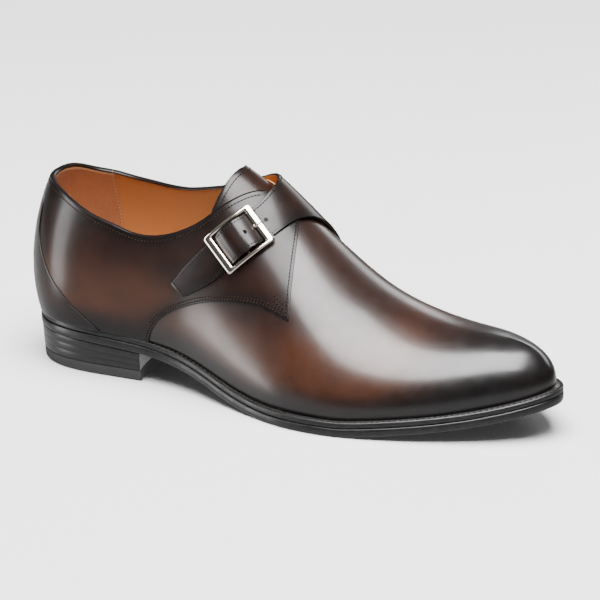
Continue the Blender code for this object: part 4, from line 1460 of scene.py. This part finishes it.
def softbox(name, power, lamp, gloss_only):
    """A rectangular lamp that gives reflections only, or soft light only."""
    place, target, sides = lamp
    light = bpy.data.lights.new(name, "AREA")
    light.shape = "RECTANGLE"
    light.size, light.size_y = sides
    light.energy = power
    box = bpy.data.objects.new(name, light)
    bpy.context.scene.collection.objects.link(box)
    box.location = place
    box.rotation_euler = (Vector(target) - Vector(place)).to_track_quat("-Z", "Y").to_euler()
    box.visible_diffuse = not gloss_only
    box.visible_glossy = gloss_only


def make_lamps():
    """Three lamps for the reflections in the polish, and one for the soft light."""
    studio = bpy.context.scene.shoe_studio
    softbox("overhead", studio.overhead, OVERHEAD_LAMP, gloss_only=True)
    softbox("side", studio.side, SIDE_LAMP, gloss_only=True)
    softbox("rim", studio.rim, RIM_LAMP, gloss_only=True)
    softbox("fill", studio.fill, FILL_LAMP, gloss_only=False)


def make_camera():
    """The camera on its long lens, looking down at the shoe's outer side."""
    studio = bpy.context.scene.shoe_studio
    azimuth, elevation = studio.azimuth, studio.elevation
    level = math.cos(elevation)
    back = Vector((math.sin(azimuth) * level, -math.cos(azimuth) * level, math.sin(elevation)))
    camera = bpy.data.objects.new("camera", bpy.data.cameras.new("camera"))
    bpy.context.scene.collection.objects.link(camera)
    camera.data.lens = studio.lens
    camera.data.sensor_width = CAMERA_FILM
    camera.location = CAMERA_CENTRE + back * studio.distance
    camera.rotation_euler = (CAMERA_AIM - camera.location).to_track_quat("-Z", "Y").to_euler()
    bpy.context.scene.camera = camera


# ------------------------------------------------------------------ operators
class ShoeStep:
    """What all the building steps share."""

    bl_options = {"REGISTER", "UNDO"}
    makers = ()

    def execute(self, context):
        for make in self.makers:
            make()
        return {"FINISHED"}


class SHOE_OT_inside(ShoeStep, bpy.types.Operator):
    """Lining, suede heel grip, insole and sock"""
    bl_idname = "shoe.inside"
    bl_label = "Lining and insole"
    makers = (make_lining, make_heel_grip, make_insole)


class SHOE_OT_vamp(ShoeStep, bpy.types.Operator):
    """The vamp, from welt to welt over the toes"""
    bl_idname = "shoe.vamp"
    bl_label = "Vamp"
    makers = (make_vamp,)


class SHOE_OT_tongue(ShoeStep, bpy.types.Operator):
    """The tongue inside the throat"""
    bl_idname = "shoe.tongue"
    bl_label = "Tongue"
    makers = (make_tongue,)


class SHOE_OT_quarters(ShoeStep, bpy.types.Operator):
    """Both quarters; the inner one carries the strap"""
    bl_idname = "shoe.quarters"
    bl_label = "Quarters and strap"
    makers = (make_outer_quarter, make_inner_quarter)


class SHOE_OT_counter(ShoeStep, bpy.types.Operator):
    """The heel counter"""
    bl_idname = "shoe.counter"
    bl_label = "Heel counter"
    makers = (make_counter,)


class SHOE_OT_binding(ShoeStep, bpy.types.Operator):
    """The binding round the collar"""
    bl_idname = "shoe.binding"
    bl_label = "Collar binding"
    makers = (make_collar_binding,)


class SHOE_OT_stitching(ShoeStep, bpy.types.Operator):
    """Every row of stitches on the upper and on the heel grip"""
    bl_idname = "shoe.stitching"
    bl_label = "Stitching"
    makers = (make_stitching, make_grip_stitching)


class SHOE_OT_sole(ShoeStep, bpy.types.Operator):
    """Outsole, welt, rand and heel"""
    bl_idname = "shoe.sole"
    bl_label = "Sole and heel"
    makers = (make_outsole, make_welt, make_welt_stitching, make_heel)


class SHOE_OT_buckle(ShoeStep, bpy.types.Operator):
    """Buckle, prong and the strap's holes"""
    bl_idname = "shoe.buckle"
    bl_label = "Buckle"
    makers = (make_buckle, make_prong, make_strap_holes, finish_tab)


class SHOE_OT_stage(ShoeStep, bpy.types.Operator):
    """Floor, light and camera"""
    bl_idname = "shoe.stage"
    bl_label = "Stage"
    makers = (make_floor, make_room, make_lamps, make_camera)


STEPS = (SHOE_OT_inside, SHOE_OT_vamp, SHOE_OT_tongue, SHOE_OT_quarters, SHOE_OT_counter,
         SHOE_OT_binding, SHOE_OT_stitching, SHOE_OT_sole, SHOE_OT_buckle, SHOE_OT_stage)


class SHOE_PT_workshop(bpy.types.Panel):
    """The building steps and their settings"""
    bl_idname = "SHOE_PT_workshop"
    bl_label = "Monk strap shoe"
    bl_space_type = "VIEW_3D"
    bl_region_type = "UI"
    bl_category = "Shoe"

    def draw(self, context):
        for step in STEPS:
            self.layout.operator(step.bl_idname)
        for group in (context.scene.shoe_sizes, context.scene.shoe_colours, context.scene.shoe_studio):
            box = self.layout.box()
            for name in group.bl_rna.properties.keys():
                if name not in {"rna_type", "name"}:
                    box.prop(group, name)


GROUPS = {"shoe_sizes": ShoeSizes, "shoe_colours": ShoeColours, "shoe_studio": ShoeStudio}


def register():
    """Adds the settings, the steps and the sidebar panel."""
    for kind in (*GROUPS.values(), *STEPS, SHOE_PT_workshop):
        bpy.utils.register_class(kind)
    for name, kind in GROUPS.items():
        setattr(bpy.types.Scene, name, PointerProperty(type=kind))


def unregister():
    """Takes away what register added."""
    for name in GROUPS:
        delattr(bpy.types.Scene, name)
    for kind in reversed((*GROUPS.values(), *STEPS, SHOE_PT_workshop)):
        bpy.utils.unregister_class(kind)


def main():
    """Builds the shoe step by step."""
    register()
    for step in STEPS:
        group, name = step.bl_idname.split(".")
        getattr(getattr(bpy.ops, group), name)()


if __name__ == "__main__":
    main()
